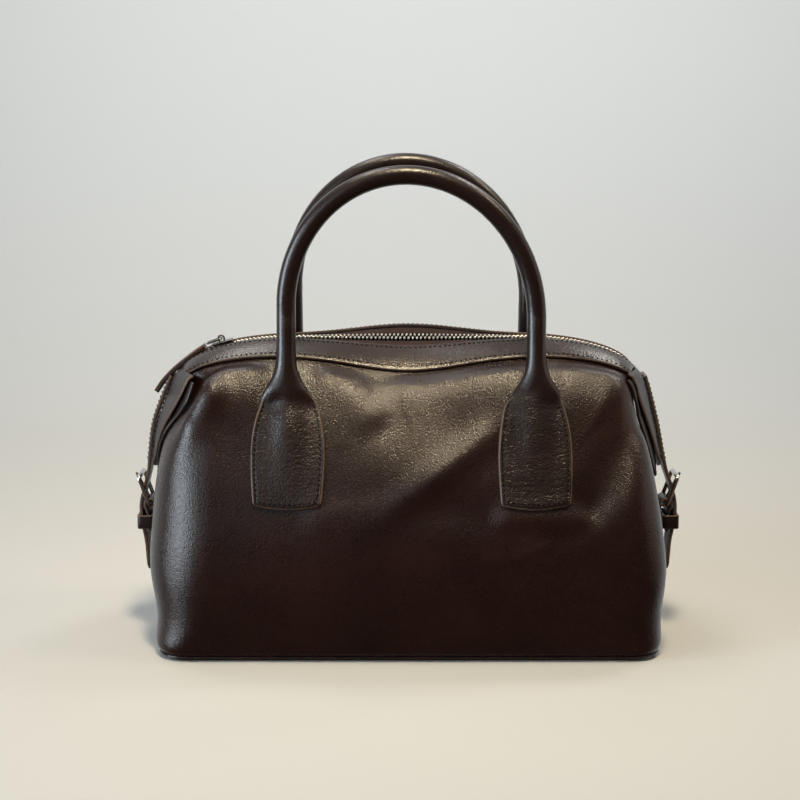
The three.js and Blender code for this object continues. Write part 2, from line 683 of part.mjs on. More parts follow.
function strapGeometry(side) {
  const strip = tippedStrip(SIDE_STRAP, side, STRAP, STRAP_HALF);
  const near = side * LOWER_BAR.x;
  const far = side * (UPPER_BAR.x + STRAP_HALF);
  const low = new THREE.Vector3(Math.min(near, far), -PRONG_SLOT.half, PRONG_SLOT.low);
  const high = new THREE.Vector3(Math.max(near, far), PRONG_SLOT.half, PRONG_SLOT.high);
  return cutBox(strip, low, high);
}

// A loop of leather round the strap and the outer layer of the chape
function keeperGeometry(side) {
  const inner = LOWER_BAR.x + CHAPE_RETURN.outside - CHAPE_THICK / 2 - KEEPER.slack;
  const outer = SIDE_STRAP[7].x + STRAP / 2 + KEEPER.slack;
  const half = STRAP_HALF + KEEPER.slack;
  const ring = (Kind, grow) => {
    const [low, high] = [side * (inner - grow), side * (outer + grow)].sort((a, b) => a - b);
    const path = new Kind();
    path.moveTo(low, -half - grow);
    path.lineTo(high, -half - grow);
    path.lineTo(high, half + grow);
    path.lineTo(low, half + grow);
    return path;
  };
  const outline = ring(THREE.Shape, KEEPER.wall);
  outline.holes.push(ring(THREE.Path, 0));
  const extrusion = { depth: KEEPER.high - KEEPER.low, bevelEnabled: false };
  return new THREE.ExtrudeGeometry(outline, extrusion).translate(0, 0, KEEPER.low);
}

// Zip chain along the ridge
function ridgePoint(x) {
  return new THREE.Vector3(x, 0, heightAt(SECTIONS.length - 1, x, true));
}

function chainGeometry(from, to) {
  const steps = Math.max(Math.round((CHAIN.steps * Math.abs(to - from)) / (2 * CHAIN.end)), 3);
  const rings = [];
  for (let k = 0; k <= steps; k += 1) {
    const x = THREE.MathUtils.lerp(from, to, k / steps);
    const slope = ridgePoint(x + 0.01).sub(ridgePoint(x - 0.01)).normalize();
    const normal = new THREE.Vector3(-slope.z, 0, slope.x);
    const corner = (y, rise) => ridgePoint(x).addScaledVector(normal, rise).setY(y * CHAIN.half);
    rings.push([corner(-1, -CHAIN.below), corner(1, -CHAIN.below), corner(1, CHAIN.above), corner(-1, CHAIN.above)]);
  }
  return loftGeometry(rings);
}

// The slider: two plates on a core, with a bridge on top whose hole holds the puller's bar
function sliderGeometry() {
  const { long, half, core, plate, top, bottom } = SLIDER;
  const parts = [
    { x: long, y: 2 * half, low: top, high: top + plate },
    { x: long, y: 2 * core, low: bottom - 0.1, high: top + 0.1 },
    { x: long, y: 2 * half, low: bottom - plate, high: bottom },
  ];
  let solid = null;
  for (const { x, y, low, high } of parts) {
    const box = toSolid(new THREE.BoxGeometry(x, y, high - low).translate(0, 0, (low + high) / 2));
    solid = solid ? solid.add(box) : box;
  }
  const arch = new THREE.Shape();
  const radius = BRIDGE.hole + BRIDGE.wall;
  const axis = top + plate + BRIDGE.rise;
  arch.moveTo(-radius, top + plate / 2);
  arch.lineTo(radius, top + plate / 2);
  arch.absarc(0, axis, radius, 0, Math.PI, false);
  arch.holes.push(new THREE.Path().absarc(0, axis, BRIDGE.hole, 0, 2 * Math.PI, false));
  const extrusion = { depth: 2 * BRIDGE.half, bevelEnabled: false, curveSegments: 8 };
  const bridge = new THREE.ExtrudeGeometry(arch, extrusion).rotateX(Math.PI / 2).translate(0, BRIDGE.half, 0);
  return fromSolid(solid.add(toSolid(bridge)));
}

// The puller: a flat link whose bar passes under the bridge
function pullerGeometry() {
  const edge = PULLER.bar / 2;
  const outline = roundedRectangle(new THREE.Shape(), PULLER.half, -edge, PULLER.long, PULLER.bar);
  const high = PULLER.long - PULLER.solid;
  const window = roundedRectangle(new THREE.Path(), PULLER.half - PULLER.bar, edge, high, PULLER.round);
  outline.holes.push(window);
  const extrusion = { depth: PULLER.bar, bevelEnabled: false, curveSegments: 3 };
  return new THREE.ExtrudeGeometry(outline, extrusion).translate(0, 0, -edge);
}

function addSlider() {
  const slope = ridgePoint(SLIDER_X + 0.01).sub(ridgePoint(SLIDER_X - 0.01)).normalize();
  const slider = new THREE.Group();
  slider.position.copy(ridgePoint(SLIDER_X));
  slider.rotation.y = -Math.atan2(slope.z, slope.x);
  addPiece("zip_slider", sliderGeometry(), SILVER, slider);
  const puller = addPiece("zip_puller", pullerGeometry(), SILVER, slider);
  const tilt = THREE.MathUtils.degToRad(PULLER.tilt);
  const along = new THREE.Vector3(-Math.cos(tilt), 0, -Math.sin(tilt));
  drawnAcross(puller, new THREE.Vector3(0, 0, SLIDER.top + SLIDER.plate + BRIDGE.rise), along);
  bag.add(slider);
}

function pullTabGeometry() {
  const widen = (share) => THREE.MathUtils.lerp(PULL_TAB.neck, PULL_TAB.half, Math.min(share * 4, 1));
  return stripGeometry(pathPoints(PULL_PATH, -1), PULL_TAB.thick, widen);
}

// Front and back halves. The back half is built like the front and turned round the middle.
for (const half of ["front", "back"]) {
  const isFront = half === "front";
  const turned = new THREE.Group();
  turned.rotation.z = isFront ? 0 : Math.PI;
  addPiece(`${half}_panel`, panelGeometry(isFront), LEATHER, turned);
  addPiece(`${half}_band`, bandGeometry(isFront), LEATHER, turned);
  addPiece(`zip_tape_${half}`, tapeGeometry(isFront), CLOTH, turned);
  addPiece(`handle_${half}`, handleGeometry(isFront), LEATHER, turned);
  bag.add(turned);
}
addPiece("base_panel", baseGeometry(), LEATHER);

// Zip
const sliderReach = SLIDER.long / 2 + GAP;
addPiece("zip_chain", chainGeometry(SLIDER_X + sliderReach, CHAIN.end), SILVER);
addPiece("zip_chain_open", chainGeometry(-CHAIN.end, SLIDER_X - sliderReach), SILVER);
addSlider();
addPiece("zip_pull_tab", pullTabGeometry(), LEATHER);

// Both ends
for (const [name, side] of [["left", -1], ["right", 1]]) {
  addPiece(`side_strap_${name}`, strapGeometry(side), LEATHER);
  addPiece(`end_tongue_${name}`, tippedStrip(TONGUE, side, BAND, TONGUE_HALF), LEATHER);
  addPiece(`end_flap_${name}`, tippedStrip(FLAP, side, STRAP, FLAP_HALF), LEATHER);
  addPiece(`chape_${name}`, chapeGeometry(side), LEATHER);
  addPiece(`keeper_${name}`, keeperGeometry(side), LEATHER);
  addBuckle(side, name);
  addProng(side, name);
}

export default bag;
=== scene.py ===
# %% [markdown]
# # A soft leather bowling bag
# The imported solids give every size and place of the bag. Over them this lesson lays the leather with its
# folds, the stitched bands and tabs, the rolled handles, the zip with its teeth, and the buckled straps at
# both ends. The solids are only hidden, never changed, so everything here stays in their frame, in metres.

# %% Load the solids
import math

import bpy
import numpy as np
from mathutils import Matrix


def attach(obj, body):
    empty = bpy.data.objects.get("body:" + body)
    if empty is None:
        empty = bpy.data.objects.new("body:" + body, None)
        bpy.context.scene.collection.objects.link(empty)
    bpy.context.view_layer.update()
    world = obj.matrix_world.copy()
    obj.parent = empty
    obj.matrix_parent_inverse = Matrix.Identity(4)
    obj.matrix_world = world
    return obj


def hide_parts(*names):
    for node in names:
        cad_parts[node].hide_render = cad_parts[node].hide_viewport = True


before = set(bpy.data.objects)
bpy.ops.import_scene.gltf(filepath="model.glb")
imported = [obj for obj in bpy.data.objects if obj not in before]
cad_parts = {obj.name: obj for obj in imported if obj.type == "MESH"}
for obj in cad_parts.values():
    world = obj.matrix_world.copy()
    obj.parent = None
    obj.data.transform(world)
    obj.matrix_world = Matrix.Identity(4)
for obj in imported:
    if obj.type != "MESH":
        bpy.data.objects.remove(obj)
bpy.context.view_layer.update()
MM = 0.001

# %% [markdown]
# ## Camera, floor and light
# The photograph was taken from in front and a little above, with a long lens. The camera repeats that view.
# A pale sweep, flat under the bag and curving up behind it, keeps the background plain.

# %% Camera
CAMERA = {"place": (-0.005, -0.99, 0.32), "tilt": 10.14, "lens": 74.25, "sensor": 36}
bpy.ops.object.select_all(action="DESELECT")
bpy.ops.object.camera_add(location=CAMERA["place"], rotation=(math.radians(90 - CAMERA["tilt"]), 0, 0))
camera = bpy.context.object
camera.name = "photo_camera"
camera.data.lens = CAMERA["lens"]
camera.data.sensor_width = CAMERA["sensor"]
bpy.context.scene.camera = camera
print("camera at", tuple(round(v, 3) for v in camera.location))


# %% [markdown]
# Most pieces start as a flat grid whose points are then moved to their place by a formula, because soft
# leather follows no simple primitive. The helper keeps the grid's own UV map, which then runs along the
# surface.

# %% A grid that is moved into shape
def select_only(piece):
    bpy.ops.object.select_all(action="DESELECT")
    piece.select_set(True)
    bpy.context.view_layer.objects.active = piece


def mesh_points(mesh):
    flat = np.empty(len(mesh.vertices) * 3)
    mesh.vertices.foreach_get("co", flat)
    return flat.reshape(-1, 3)


def move_points(mesh, points):
    """Puts the points of a mesh at places in millimetres."""
    mesh.vertices.foreach_set("co", (points * MM).astype(np.float32).ravel())
    mesh.update()


def grid_piece(name, columns, rows, place):
    """A grid whose points go to place(u, v) in millimetres, with u and v between 0 and 1."""
    bpy.ops.object.select_all(action="DESELECT")
    bpy.ops.mesh.primitive_grid_add(x_subdivisions=columns, y_subdivisions=rows, size=1, location=(0, 0, 0))
    piece = bpy.context.object
    piece.name = name
    piece.data.name = name
    shares = mesh_points(piece.data) + 0.5
    move_points(piece.data, place(shares[:, 0], shares[:, 1]))
    return piece


def edit_all(piece, *steps):
    """Runs mesh operators on the whole of one piece in edit mode."""
    select_only(piece)
    bpy.ops.object.mode_set(mode="EDIT")
    for step in steps:
        bpy.ops.mesh.select_all(action="SELECT")
        step()
    bpy.ops.object.mode_set(mode="OBJECT")


print("points of a grid are given in units of", MM, "m")


# %% Floor that sweeps up behind the bag
SWEEP = {"half": 2600, "front": -2600, "back": 1500, "radius": 900, "top": 2600}


def sweep_place(u, v):
    flat_end = SWEEP["back"] - SWEEP["radius"]
    flat_long = flat_end - SWEEP["front"]
    arc_long = SWEEP["radius"] * math.pi / 2
    wall_long = SWEEP["top"] - SWEEP["radius"]
    along = v * (flat_long + arc_long + wall_long)
    turn = np.clip((along - flat_long) / SWEEP["radius"], 0, math.pi / 2)
    over = np.maximum(along - flat_long - arc_long, 0)
    y = SWEEP["front"] + np.minimum(along, flat_long) + SWEEP["radius"] * np.sin(turn)
    z = SWEEP["radius"] * (1 - np.cos(turn)) + over
    return np.stack([(u - 0.5) * 2 * SWEEP["half"], y, z], axis=1)


floor = grid_piece("floor", 2, 120, sweep_place)
bpy.ops.object.shade_smooth()
floor.visible_glossy = False
print("floor points:", len(floor.data.vertices))


# %% Colours and shader nodes
def colour(red, green, blue):
    """A colour of 0 to 255, turned into the linear values that shaders use."""
    shares = [value / 255 for value in (red, green, blue)]
    linear = [s / 12.92 if s <= 0.04045 else ((s + 0.055) / 1.055) ** 2.4 for s in shares]
    return (*linear, 1.0)


def feed(tree, node, inputs):
    """Gives each named input of a node a value, or wires the output of another node to it."""
    for name, value in dict(inputs).items():
        if isinstance(value, bpy.types.NodeSocket):
            tree.links.new(value, node.inputs[name])
        else:
            node.inputs[name].default_value = value


def add_node(tree, kind, inputs=(), **settings):
    node = tree.nodes.new("ShaderNode" + kind)
    for name, value in settings.items():
        setattr(node, name, value)
    feed(tree, node, inputs)
    return node


def ranged(tree, value, source, target):
    """A value carried from one range to another."""
    ends = {"From Min": source[0], "From Max": source[1], "To Min": target[0], "To Max": target[1]}
    return add_node(tree, "MapRange", {"Value": value, **ends}).outputs["Result"]


def mixed(tree, share, first, second):
    """A colour between two others."""
    inputs = {"Factor": share, "A": first, "B": second}
    return add_node(tree, "Mix", inputs, data_type="RGBA").outputs["Result"]


def new_material(name):
    material = bpy.data.materials.new(name)
    material.use_nodes = True
    return material, material.node_tree, material.node_tree.nodes["Principled BSDF"]


FLOOR_TONE = (161, 163, 164)
floor_paint, tree, shader = new_material("floor_paint")
feed(tree, shader, {"Base Color": colour(*FLOOR_TONE), "Roughness": 0.85, "Specular IOR Level": 0.1})
floor.data.materials.append(floor_paint)
print("floor painted")

# %% [markdown]
# A warm lamp high in front lights the sloping upper half of the bag, and a cool window on the left draws the
# grey sheen down the left corner. Two small spots and two lamps behind the bag pick out the shoulders and the
# bands, a weak light fills the right side, and a wide wash lights the wall. The room adds a little light of
# its own, reddish from below and paler from above and behind. The floor doesn't show in reflections, so that
# the glossy leather stays dark low down.

# %% Lights
LAMPS = [
    # name, place, target, width, height, power, spread in degrees, colour
    ("warm_lamp", (0.06, -0.58, 1.54), (-0.04, -0.04, 0.15), 0.18, 0.40, 4.1, 70, (1.0, 0.82, 0.54)),
    ("left_spot", (-0.48, -0.08, 1.60), (-0.10, -0.02, 0.16), 0.24, 0.24, 0.5, 70, (1.0, 0.88, 0.70)),
    ("right_spot", (1.05, -0.15, 1.30), (0.11, -0.02, 0.16), 0.24, 0.24, 0.8, 70, (1.0, 0.82, 0.60)),
    ("window", (-1.30, -0.56, 0.30), (-0.13, -0.05, 0.10), 0.6, 0.9, 11, 120, (0.80, 0.91, 1.0)),
    ("window_side", (-0.88, -1.11, 0.62), (-0.12, -0.05, 0.12), 0.8, 0.6, 1.9, 140, (0.80, 0.91, 1.0)),
    ("right_fill", (1.5, -0.05, 0.45), (0.12, 0.0, 0.12), 0.7, 0.9, 1.0, 120, (1.0, 0.82, 0.64)),
    ("ceiling_left", (-0.44, 0.49, 1.65), (-0.09, 0.0, 0.17), 0.4, 0.4, 0.9, 70, (1.0, 0.97, 0.93)),
    ("ceiling_right", (0.85, 0.64, 1.56), (0.11, 0.0, 0.17), 0.4, 0.4, 1.4, 70, (1.0, 0.94, 0.86)),
    ("wall_wash", (0.0, 0.55, 1.9), (0.0, 1.5, 0.55), 2.0, 0.6, 22, 96, (1.0, 0.985, 0.935)),
]


def aim(place, target):
    """Turns from a lamp's own -Z to the direction of its target."""
    away = np.subtract(place, target)
    flat = math.hypot(away[0], away[1])
    return (math.atan2(flat, away[2]), 0, math.atan2(away[0], -away[1]))


for lamp_name, place, target, width, height, power, spread, tint in LAMPS:
    bpy.ops.object.light_add(type="AREA", location=place, rotation=aim(place, target))
    lamp = bpy.context.object
    lamp.name = lamp_name
    lamp.data.shape = "RECTANGLE"
    lamp.data.size = width
    lamp.data.size_y = height
    lamp.data.energy = power
    lamp.data.spread = math.radians(spread)
    lamp.data.color = tint
print("lamps:", len(LAMPS))

# %% Light of the room
ROOM_LIGHT = [
    # share of the way from straight down to straight up, and the light from there
    (0.0, (0.15, 0.075, 0.05)), (0.48, (0.13, 0.065, 0.045)), (0.53, (0.055, 0.042, 0.04)),
    (0.70, (0.06, 0.052, 0.05)), (0.84, (0.32, 0.30, 0.28)), (0.95, (0.44, 0.42, 0.40)),
    (1.0, (0.85, 0.83, 0.80)),
]
BEHIND = (0.1, 0.6)
LIGHT_FROM_BEHIND = (0.8, 0.82, 0.82, 1)
SEEN_ROOM = (0.66, 0.66, 0.64, 1)

world = bpy.data.worlds.new("room")
world.use_nodes = True
tree = world.node_tree
direction = add_node(tree, "TexCoord").outputs["Generated"]
towards = add_node(tree, "SeparateXYZ", {"Vector": direction}).outputs
heights = add_node(tree, "ValToRGB", {"Fac": ranged(tree, towards["Z"], (-1, 1), (0, 1))})
for share, tint in ROOM_LIGHT[1:-1]:
    heights.color_ramp.elements.new(share)
for element, (share, tint) in zip(heights.color_ramp.elements, ROOM_LIGHT):
    element.position = share
    element.color = (*tint, 1)
behind = ranged(tree, towards["Y"], BEHIND, (0, 1))
room_colour = mixed(tree, behind, heights.outputs["Color"], LIGHT_FROM_BEHIND)
camera_ray = add_node(tree, "LightPath").outputs["Is Camera Ray"]
feed(tree, tree.nodes["Background"], {"Color": mixed(tree, camera_ray, room_colour, SEEN_ROOM)})
bpy.context.scene.world = world
bpy.context.scene.view_settings.view_transform = "Standard"
print("steps of room light:", len(ROOM_LIGHT))

# %% [markdown]
# ## Finishes
# The leather is a dark chocolate brown with a fine pebbled grain and a soft gloss. The grain is one node
# group: small cells bent by noise give its height, broader noise varies tone and gloss. Each leather sets its
# own values.


# %% Node group for the grain of leather
def math_node(tree, operation, *values):
    return add_node(tree, "Math", dict(enumerate(values)), operation=operation).outputs["Value"]


def leather_grain_group():
    group = bpy.data.node_groups.new("leather_grain", "ShaderNodeTree")
    for way, names in (("INPUT", ("Grain", "Crease")), ("OUTPUT", ("Height", "Tone", "Gloss"))):
        for name in names:
            group.interface.new_socket(name, in_out=way, socket_type="NodeSocketFloat")
    entry = group.nodes.new("NodeGroupInput").outputs
    leave = group.nodes.new("NodeGroupOutput")
    place = add_node(group, "TexCoord").outputs["Object"]

    warp = add_node(group, "TexNoise", {"Vector": place, "Scale": 420, "Detail": 2}).outputs["Color"]
    push = add_node(group, "VectorMath", {0: warp, "Scale": 0.0011}, operation="SCALE").outputs["Vector"]
    bent = add_node(group, "VectorMath", {0: place, 1: push}, operation="ADD").outputs["Vector"]
    pebbles = {"Vector": bent, "Scale": entry["Grain"]}
    cells = add_node(group, "TexVoronoi", pebbles, feature="F1").outputs["Distance"]
    pores = add_node(group, "TexNoise", {"Vector": place, "Scale": 2600, "Detail": 1}).outputs["Fac"]
    stretch = add_node(group, "Mapping", {"Vector": place, "Scale": (120, 120, 620)}).outputs["Vector"]
    wrinkles = {"Vector": stretch, "Scale": 1, "Detail": 3, "Distortion": 0.6}
    lines = add_node(group, "TexNoise", wrinkles).outputs["Fac"]
    creases = math_node(group, "MULTIPLY", lines, entry["Crease"])
    fine = math_node(group, "MULTIPLY", pores, 0.3)
    grain = math_node(group, "MULTIPLY_ADD", cells, -1.0, fine)
    height = math_node(group, "ADD", grain, creases)

    broad = add_node(group, "TexNoise", {"Vector": place, "Scale": 26, "Detail": 5}).outputs["Fac"]
    raised = math_node(group, "ADD", broad, 0.3)
    tone = math_node(group, "MULTIPLY_ADD", cells, -0.7, raised)
    patches = add_node(group, "TexNoise", {"Vector": place, "Scale": 150, "Detail": 4}).outputs["Fac"]
    gloss = math_node(group, "MULTIPLY_ADD", cells, 0.4, patches)
    feed(group, leave, {"Height": height, "Tone": tone, "Gloss": gloss})
    return group


leather_grain = leather_grain_group()
print("grain group nodes:", len(leather_grain.nodes))

# %% Leathers
LEATHERS = {
    # dark and light tone, range of roughness, cells to the metre, creases, depth of the grain, shine
    "body_leather": ((13, 5, 4), (36, 18, 14), (0.25, 0.33), 1050, 0.1, 0.00015, 0.36),
    "band_leather": ((17, 10, 9), (46, 33, 30), (0.2, 0.28), 800, 0.2, 0.00012, 0.38),
    "handle_leather": ((11, 5, 4), (32, 18, 15), (0.26, 0.34), 820, 1.2, 0.00018, 0.43),
    "strap_leather": ((16, 9, 8), (30, 19, 17), (0.32, 0.42), 900, 0.2, 0.0001, 0.4),
    "edge_paint": ((56, 43, 37), (88, 72, 62), (0.42, 0.52), 700, 0.0, 0.00004, 0.3),
    "raw_edge": ((42, 25, 20), (96, 62, 48), (0.5, 0.65), 1300, 0.6, 0.00012, 0.3),
}
GLOSS_RANGE = (0.34, 1.04)
# height in millimetres above which a leather's grain fades, the length of the fade and what is left of it
SMOOTH_FROM = {"handle_leather": 140}
SMOOTH_OVER = 25
SMOOTH_REST = 0.3


def leather(name, dark, light, rough, grain, crease, bump, shine):
    material, tree, shader = new_material(name)
    inputs = {"Grain": grain, "Crease": crease}
    texture = add_node(tree, "Group", inputs, node_tree=leather_grain).outputs
    relief = add_node(tree, "Bump", {"Height": texture["Height"], "Strength": 1.0, "Distance": bump})
    if name in SMOOTH_FROM:
        low = SMOOTH_FROM[name]
        place = add_node(tree, "TexCoord").outputs["Object"]
        height = add_node(tree, "SeparateXYZ", {"Vector": place}).outputs["Z"]
        fade = ranged(tree, height, (low * MM, (low + SMOOTH_OVER) * MM), (1.0, SMOOTH_REST))
        feed(tree, relief, {"Strength": fade})
    feed(tree, shader, {
        "Base Color": mixed(tree, texture["Tone"], colour(*dark), colour(*light)),
        "Roughness": ranged(tree, texture["Gloss"], GLOSS_RANGE, rough),
        "Normal": relief.outputs["Normal"],
        "Specular IOR Level": shine,
    })
    return material


body_leather, band_leather, handle_leather, strap_leather, edge_paint, raw_edge = (
    leather(name, *values) for name, values in LEATHERS.items()
)
print("leathers:", len(LEATHERS))

# %% [markdown]
# Thread, zip cloth and metal have finishes of their own. The cloth shows a fine weave along its UV map, and
# the metal a light brushing, so that neither looks like plastic.

# %% Thread and metal
FINISHES = {
    # dark and light tone, range of roughness, metallic, stretch of the noise, depth of the relief, shine
    "thread": ((9, 4, 4), (24, 13, 10), (0.5, 0.7), 0, (2500, 2500, 2500), 0.0001, 0.05),
    "zip_metal": ((176, 172, 164), (214, 211, 204), (0.38, 0.48), 1, (900, 900, 300), 0.00001, 0.5),
    # the slider's own dark metal; on the open teeth it is painted shade, for the shadow under the pull
    "slider_and_shaded_teeth_metal": ((78, 76, 73), (116, 114, 110), (0.24, 0.34), 1, (400, 900, 300), 0.00001, 0.5),
    "buckle_metal": ((150, 147, 142), (190, 187, 181), (0.16, 0.26), 1, (400, 900, 300), 0.00001, 0.5),
}


def noisy_finish(name, dark, light, rough, metallic, scale, bump, shine):
    """A finish that noise varies in tone, roughness and height."""
    material, tree, shader = new_material(name)
    place = add_node(tree, "TexCoord").outputs["Object"]
    stretch = add_node(tree, "Mapping", {"Vector": place, "Scale": scale}).outputs["Vector"]
    noise = add_node(tree, "TexNoise", {"Vector": stretch, "Scale": 1, "Detail": 3}).outputs["Fac"]
    relief = add_node(tree, "Bump", {"Height": noise, "Distance": bump})
    feed(tree, shader, {
        "Base Color": mixed(tree, noise, colour(*dark), colour(*light)),
        "Roughness": ranged(tree, noise, (0, 1), rough),
        "Normal": relief.outputs["Normal"],
        "Metallic": metallic,
        "Specular IOR Level": shine,
    })
    return material


thread, zip_metal, slider_and_shaded_teeth_metal, buckle_metal = (
    noisy_finish(name, *values) for name, values in FINISHES.items()
)
print("finishes:", list(FINISHES))


# %% Woven cloth of the zip
CLOTH = {"dark": (40, 22, 18), "light": (66, 40, 33), "threads_across": 22, "threads_along": 620}
CLOTH_RELIEF = 0.0001
CLOTH_ROUGH = 0.9


def woven_cloth(name):
    """Cloth whose weave follows the UV map."""
    material, tree, shader = new_material(name)
    place = add_node(tree, "TexCoord").outputs["UV"]
    threads = (CLOTH["threads_along"], CLOTH["threads_across"], 1)
    stretch = add_node(tree, "Mapping", {"Vector": place, "Scale": threads}).outputs["Vector"]
    tones = {"Color1": colour(*CLOTH["dark"]), "Color2": colour(*CLOTH["light"])}
    weave = add_node(tree, "TexChecker", {"Vector": stretch, "Scale": 1, **tones}).outputs
    relief = add_node(tree, "Bump", {"Height": weave["Fac"], "Distance": CLOTH_RELIEF}).outputs["Normal"]
    feed(tree, shader, {"Base Color": weave["Color"], "Normal": relief, "Roughness": CLOTH_ROUGH})
    return material


zip_cloth = woven_cloth("zip_cloth")
print("cloth woven")

# %% [markdown]
# ## The body's surface
# The body is lofted through a short table of sections, as its solids are. Girth runs round one half of the
# bag, from one end seam to the other, and level counts the sections from the base to the zip. Everything that
# lies on the body (panels, bands, tabs, stitches) takes its points from here.

# %% Table of sections, in millimetres
GAP = 0.3
SECTION_COLUMNS = [
    "z", "depth", "left", "right", "seam", "leftTurn", "rightTurn", "crown", "sag", "rise", "drop",
]
SECTIONS = np.array([
    [2.6, 68.5, 146.5, 147, 146, 17, 16, 0, 0, 0, 0],
    [8, 71.5, 149.5, 149.5, 148, 22, 20, 0.5, 0, 0, 0],
    [24, 73, 149.5, 149.5, 148, 30, 23, 1.5, 0, 0, 0],
    [50, 73, 154, 152, 150, 38, 25, 2, 0, 0, 0],
    [76, 69.5, 153, 149.5, 147.5, 40, 24, 3, 0, 0, 0],
    [100, 62.5, 150.5, 145.5, 143, 38, 21, 3, 0, 0, 0],
    [122, 54, 146, 141, 139, 34, 18, 2.5, 1, 0, 0],
    [142, 45.5, 139.5, 136, 136, 28, 15, 2, 4, 0, 0.2],
    [157, 37, 136.5, 133.5, 135, 21, 12, 1.5, 7, 0.5, 0.4],
    [168, 28.5, 134.5, 132, 136, 15, 10, 1, 9.5, 2, 0.6],
    [176, 19, 134.5, 132.5, 136.5, 10, 8, 0.5, 7.5, 4.5, 0.85],
    [180.5, 9.5, 135.5, 134.5, 136.5, 6, 6, 0, 4.5, 6, 0.97],
    [181.5, 0.6, 135.5, 135.5, 135.5, 0.5, 0.5, 0, 0, 0, 1],
])
TOP_LEVEL = len(SECTIONS) - 1
SAG_SPREAD = 45
ZIP_SHOULDER = 70
ZIP_FALL = {"long": 66, "high": 22}
FACE_SHARE = 0.64
CORNER_SHARE = 0.84
# a corner's radius is at most this share of the depth
CORNER_LIMIT = 0.9


def section_value(column, level):
    """One column of the table at levels between its rows, on a smooth curve through them."""
    values = SECTIONS[:, SECTION_COLUMNS.index(column)]
    level = np.asarray(level, dtype=float)
    row = np.clip(np.floor(level).astype(int), 0, TOP_LEVEL - 1)
    share = level - row
    here = values[row]
    following = values[row + 1]
    before = np.where(row > 0, values[np.maximum(row - 1, 0)], 2 * here - following)
    after = np.where(row + 2 <= TOP_LEVEL, values[np.minimum(row + 2, TOP_LEVEL)], 2 * following - here)
    slope_here = (following - before) / 2
    slope_next = (after - here) / 2
    square = share**2
    cube = share**3
    start = (2 * cube - 3 * square + 1) * here + (cube - 2 * square + share) * slope_here
    return start + (3 * square - 2 * cube) * following + (cube - square) * slope_next


def zip_fall(x):
    along = np.clip((np.abs(x) - ZIP_SHOULDER) / ZIP_FALL["long"], 0, 0.999)
    return ZIP_FALL["high"] * (1 - np.sqrt(1 - along**2))


def height_at(level, x, is_front):
    dip = np.exp(-((x / SAG_SPREAD) ** 2))
    middle = -section_value("sag", level) if is_front else section_value("rise", level)
    return section_value("z", level) + dip * middle - section_value("drop", level) * zip_fall(x)


print("sections:", len(SECTIONS), "zip at", height_at(TOP_LEVEL, np.array([0.0]), True))


# %% Points on the smooth half body
def corner_at(side, level, is_front):
    """Half length and radius at the corner. The back half is turned round, so its right is the bag's left."""
    on_left = (side < 0) == is_front
    reach = np.where(on_left, section_value("left", level), section_value("right", level))
    turn = np.where(on_left, section_value("leftTurn", level), section_value("rightTurn", level))
    return reach, np.minimum(turn, CORNER_LIMIT * section_value("depth", level))


def face_edges(level, is_front):
    left_reach, left_radius = corner_at(np.full_like(level, -1.0), level, is_front)
    right_reach, right_radius = corner_at(np.full_like(level, 1.0), level, is_front)
    return left_radius - left_reach, right_reach - right_radius


def smooth_point(girth, level, is_front):
    girth = np.asarray(girth, dtype=float)
    level = np.asarray(level, dtype=float)
    depth = section_value("depth", level)
    side = np.where(girth < 0, -1.0, 1.0)
    away = np.abs(girth)
    reach, radius = corner_at(side, level, is_front)
    left, right = face_edges(level, is_front)
    share = np.clip(girth / FACE_SHARE, -1, 1)
    turn = np.clip((away - FACE_SHARE) / (CORNER_SHARE - FACE_SHARE), 0, 1) * math.pi / 2
    end = (1 - away) / (1 - CORNER_SHARE)
    on_face = away <= FACE_SHARE
    on_corner = away <= CORNER_SHARE
    face_x = left + (right - left) * (share + 1) / 2
    face_y = -depth - section_value("crown", level) * (1 - share**2) ** 2
    corner_x = side * (reach - radius + radius * np.sin(turn))
    corner_y = -(depth - radius + radius * np.cos(turn))
    end_x = side * (reach + (section_value("seam", level) - reach) * (1 - end**2) ** 2)
    end_y = -(depth - radius) * end
    x = np.where(on_face, face_x, np.where(on_corner, corner_x, end_x))
    y = np.where(on_face, face_y, np.where(on_corner, corner_y, end_y)) - GAP / 2
    return np.stack([x, y, height_at(level, x, is_front)], axis=-1)


def unit(vectors):
    return vectors / np.maximum(np.linalg.norm(vectors, axis=-1, keepdims=True), 1e-12)


def outward_of(surface, girth, level):
    step = 1e-3
    along = surface(girth + step, level) - surface(girth - step, level)
    up = surface(girth, level + step) - surface(girth, level - step)
    return unit(np.cross(along, up))


def smoothstep(value, low, high):
    share = np.clip((value - low) / (high - low), 0, 1)
    return share * share * (3 - 2 * share)


print("front middle at half height:", smooth_point(np.array([0.0]), np.array([4.0]), True).round(1))

# %% [markdown]
# Folds are soft hollows and ridges, each a stretched bump with a place, a turn, a length, a width and a
# depth. The first tables are the folds of the solids. The finer ones, further down, lie on the leather and on
# the tabs that are sewn to it.

# %% Folds
# x, z, turn in degrees, length, width and depth, which is negative for a ridge
FRONT_FOLDS = [
    (-127, 156, 48, 17, 7, 5),
    (-122, 141, 60, 26, 7, -3),
    (8, 143, 0, 36, 18, 2.5),
    (20, 112, 36, 42, 8, -2),
    (112, 112, 58, 40, 9, 2),
    (40, 88, -6, 60, 12, 1.5),
]
BACK_FOLDS = [
    (-4, 140, 0, 40, 18, 2),
    (-8, 100, -32, 30, 12, 1.5),
]
BAND_FOOT = 9.55
BAND_END_FOOT = 9.0
# folds fade in from the end seams between these distances in girth, and start to fade out this many levels
# below the band
SEAM_FADE = (0.02, 1 - CORNER_SHARE + 0.06)
BAND_FADE = 0.4
CURVE_STEPS = 4


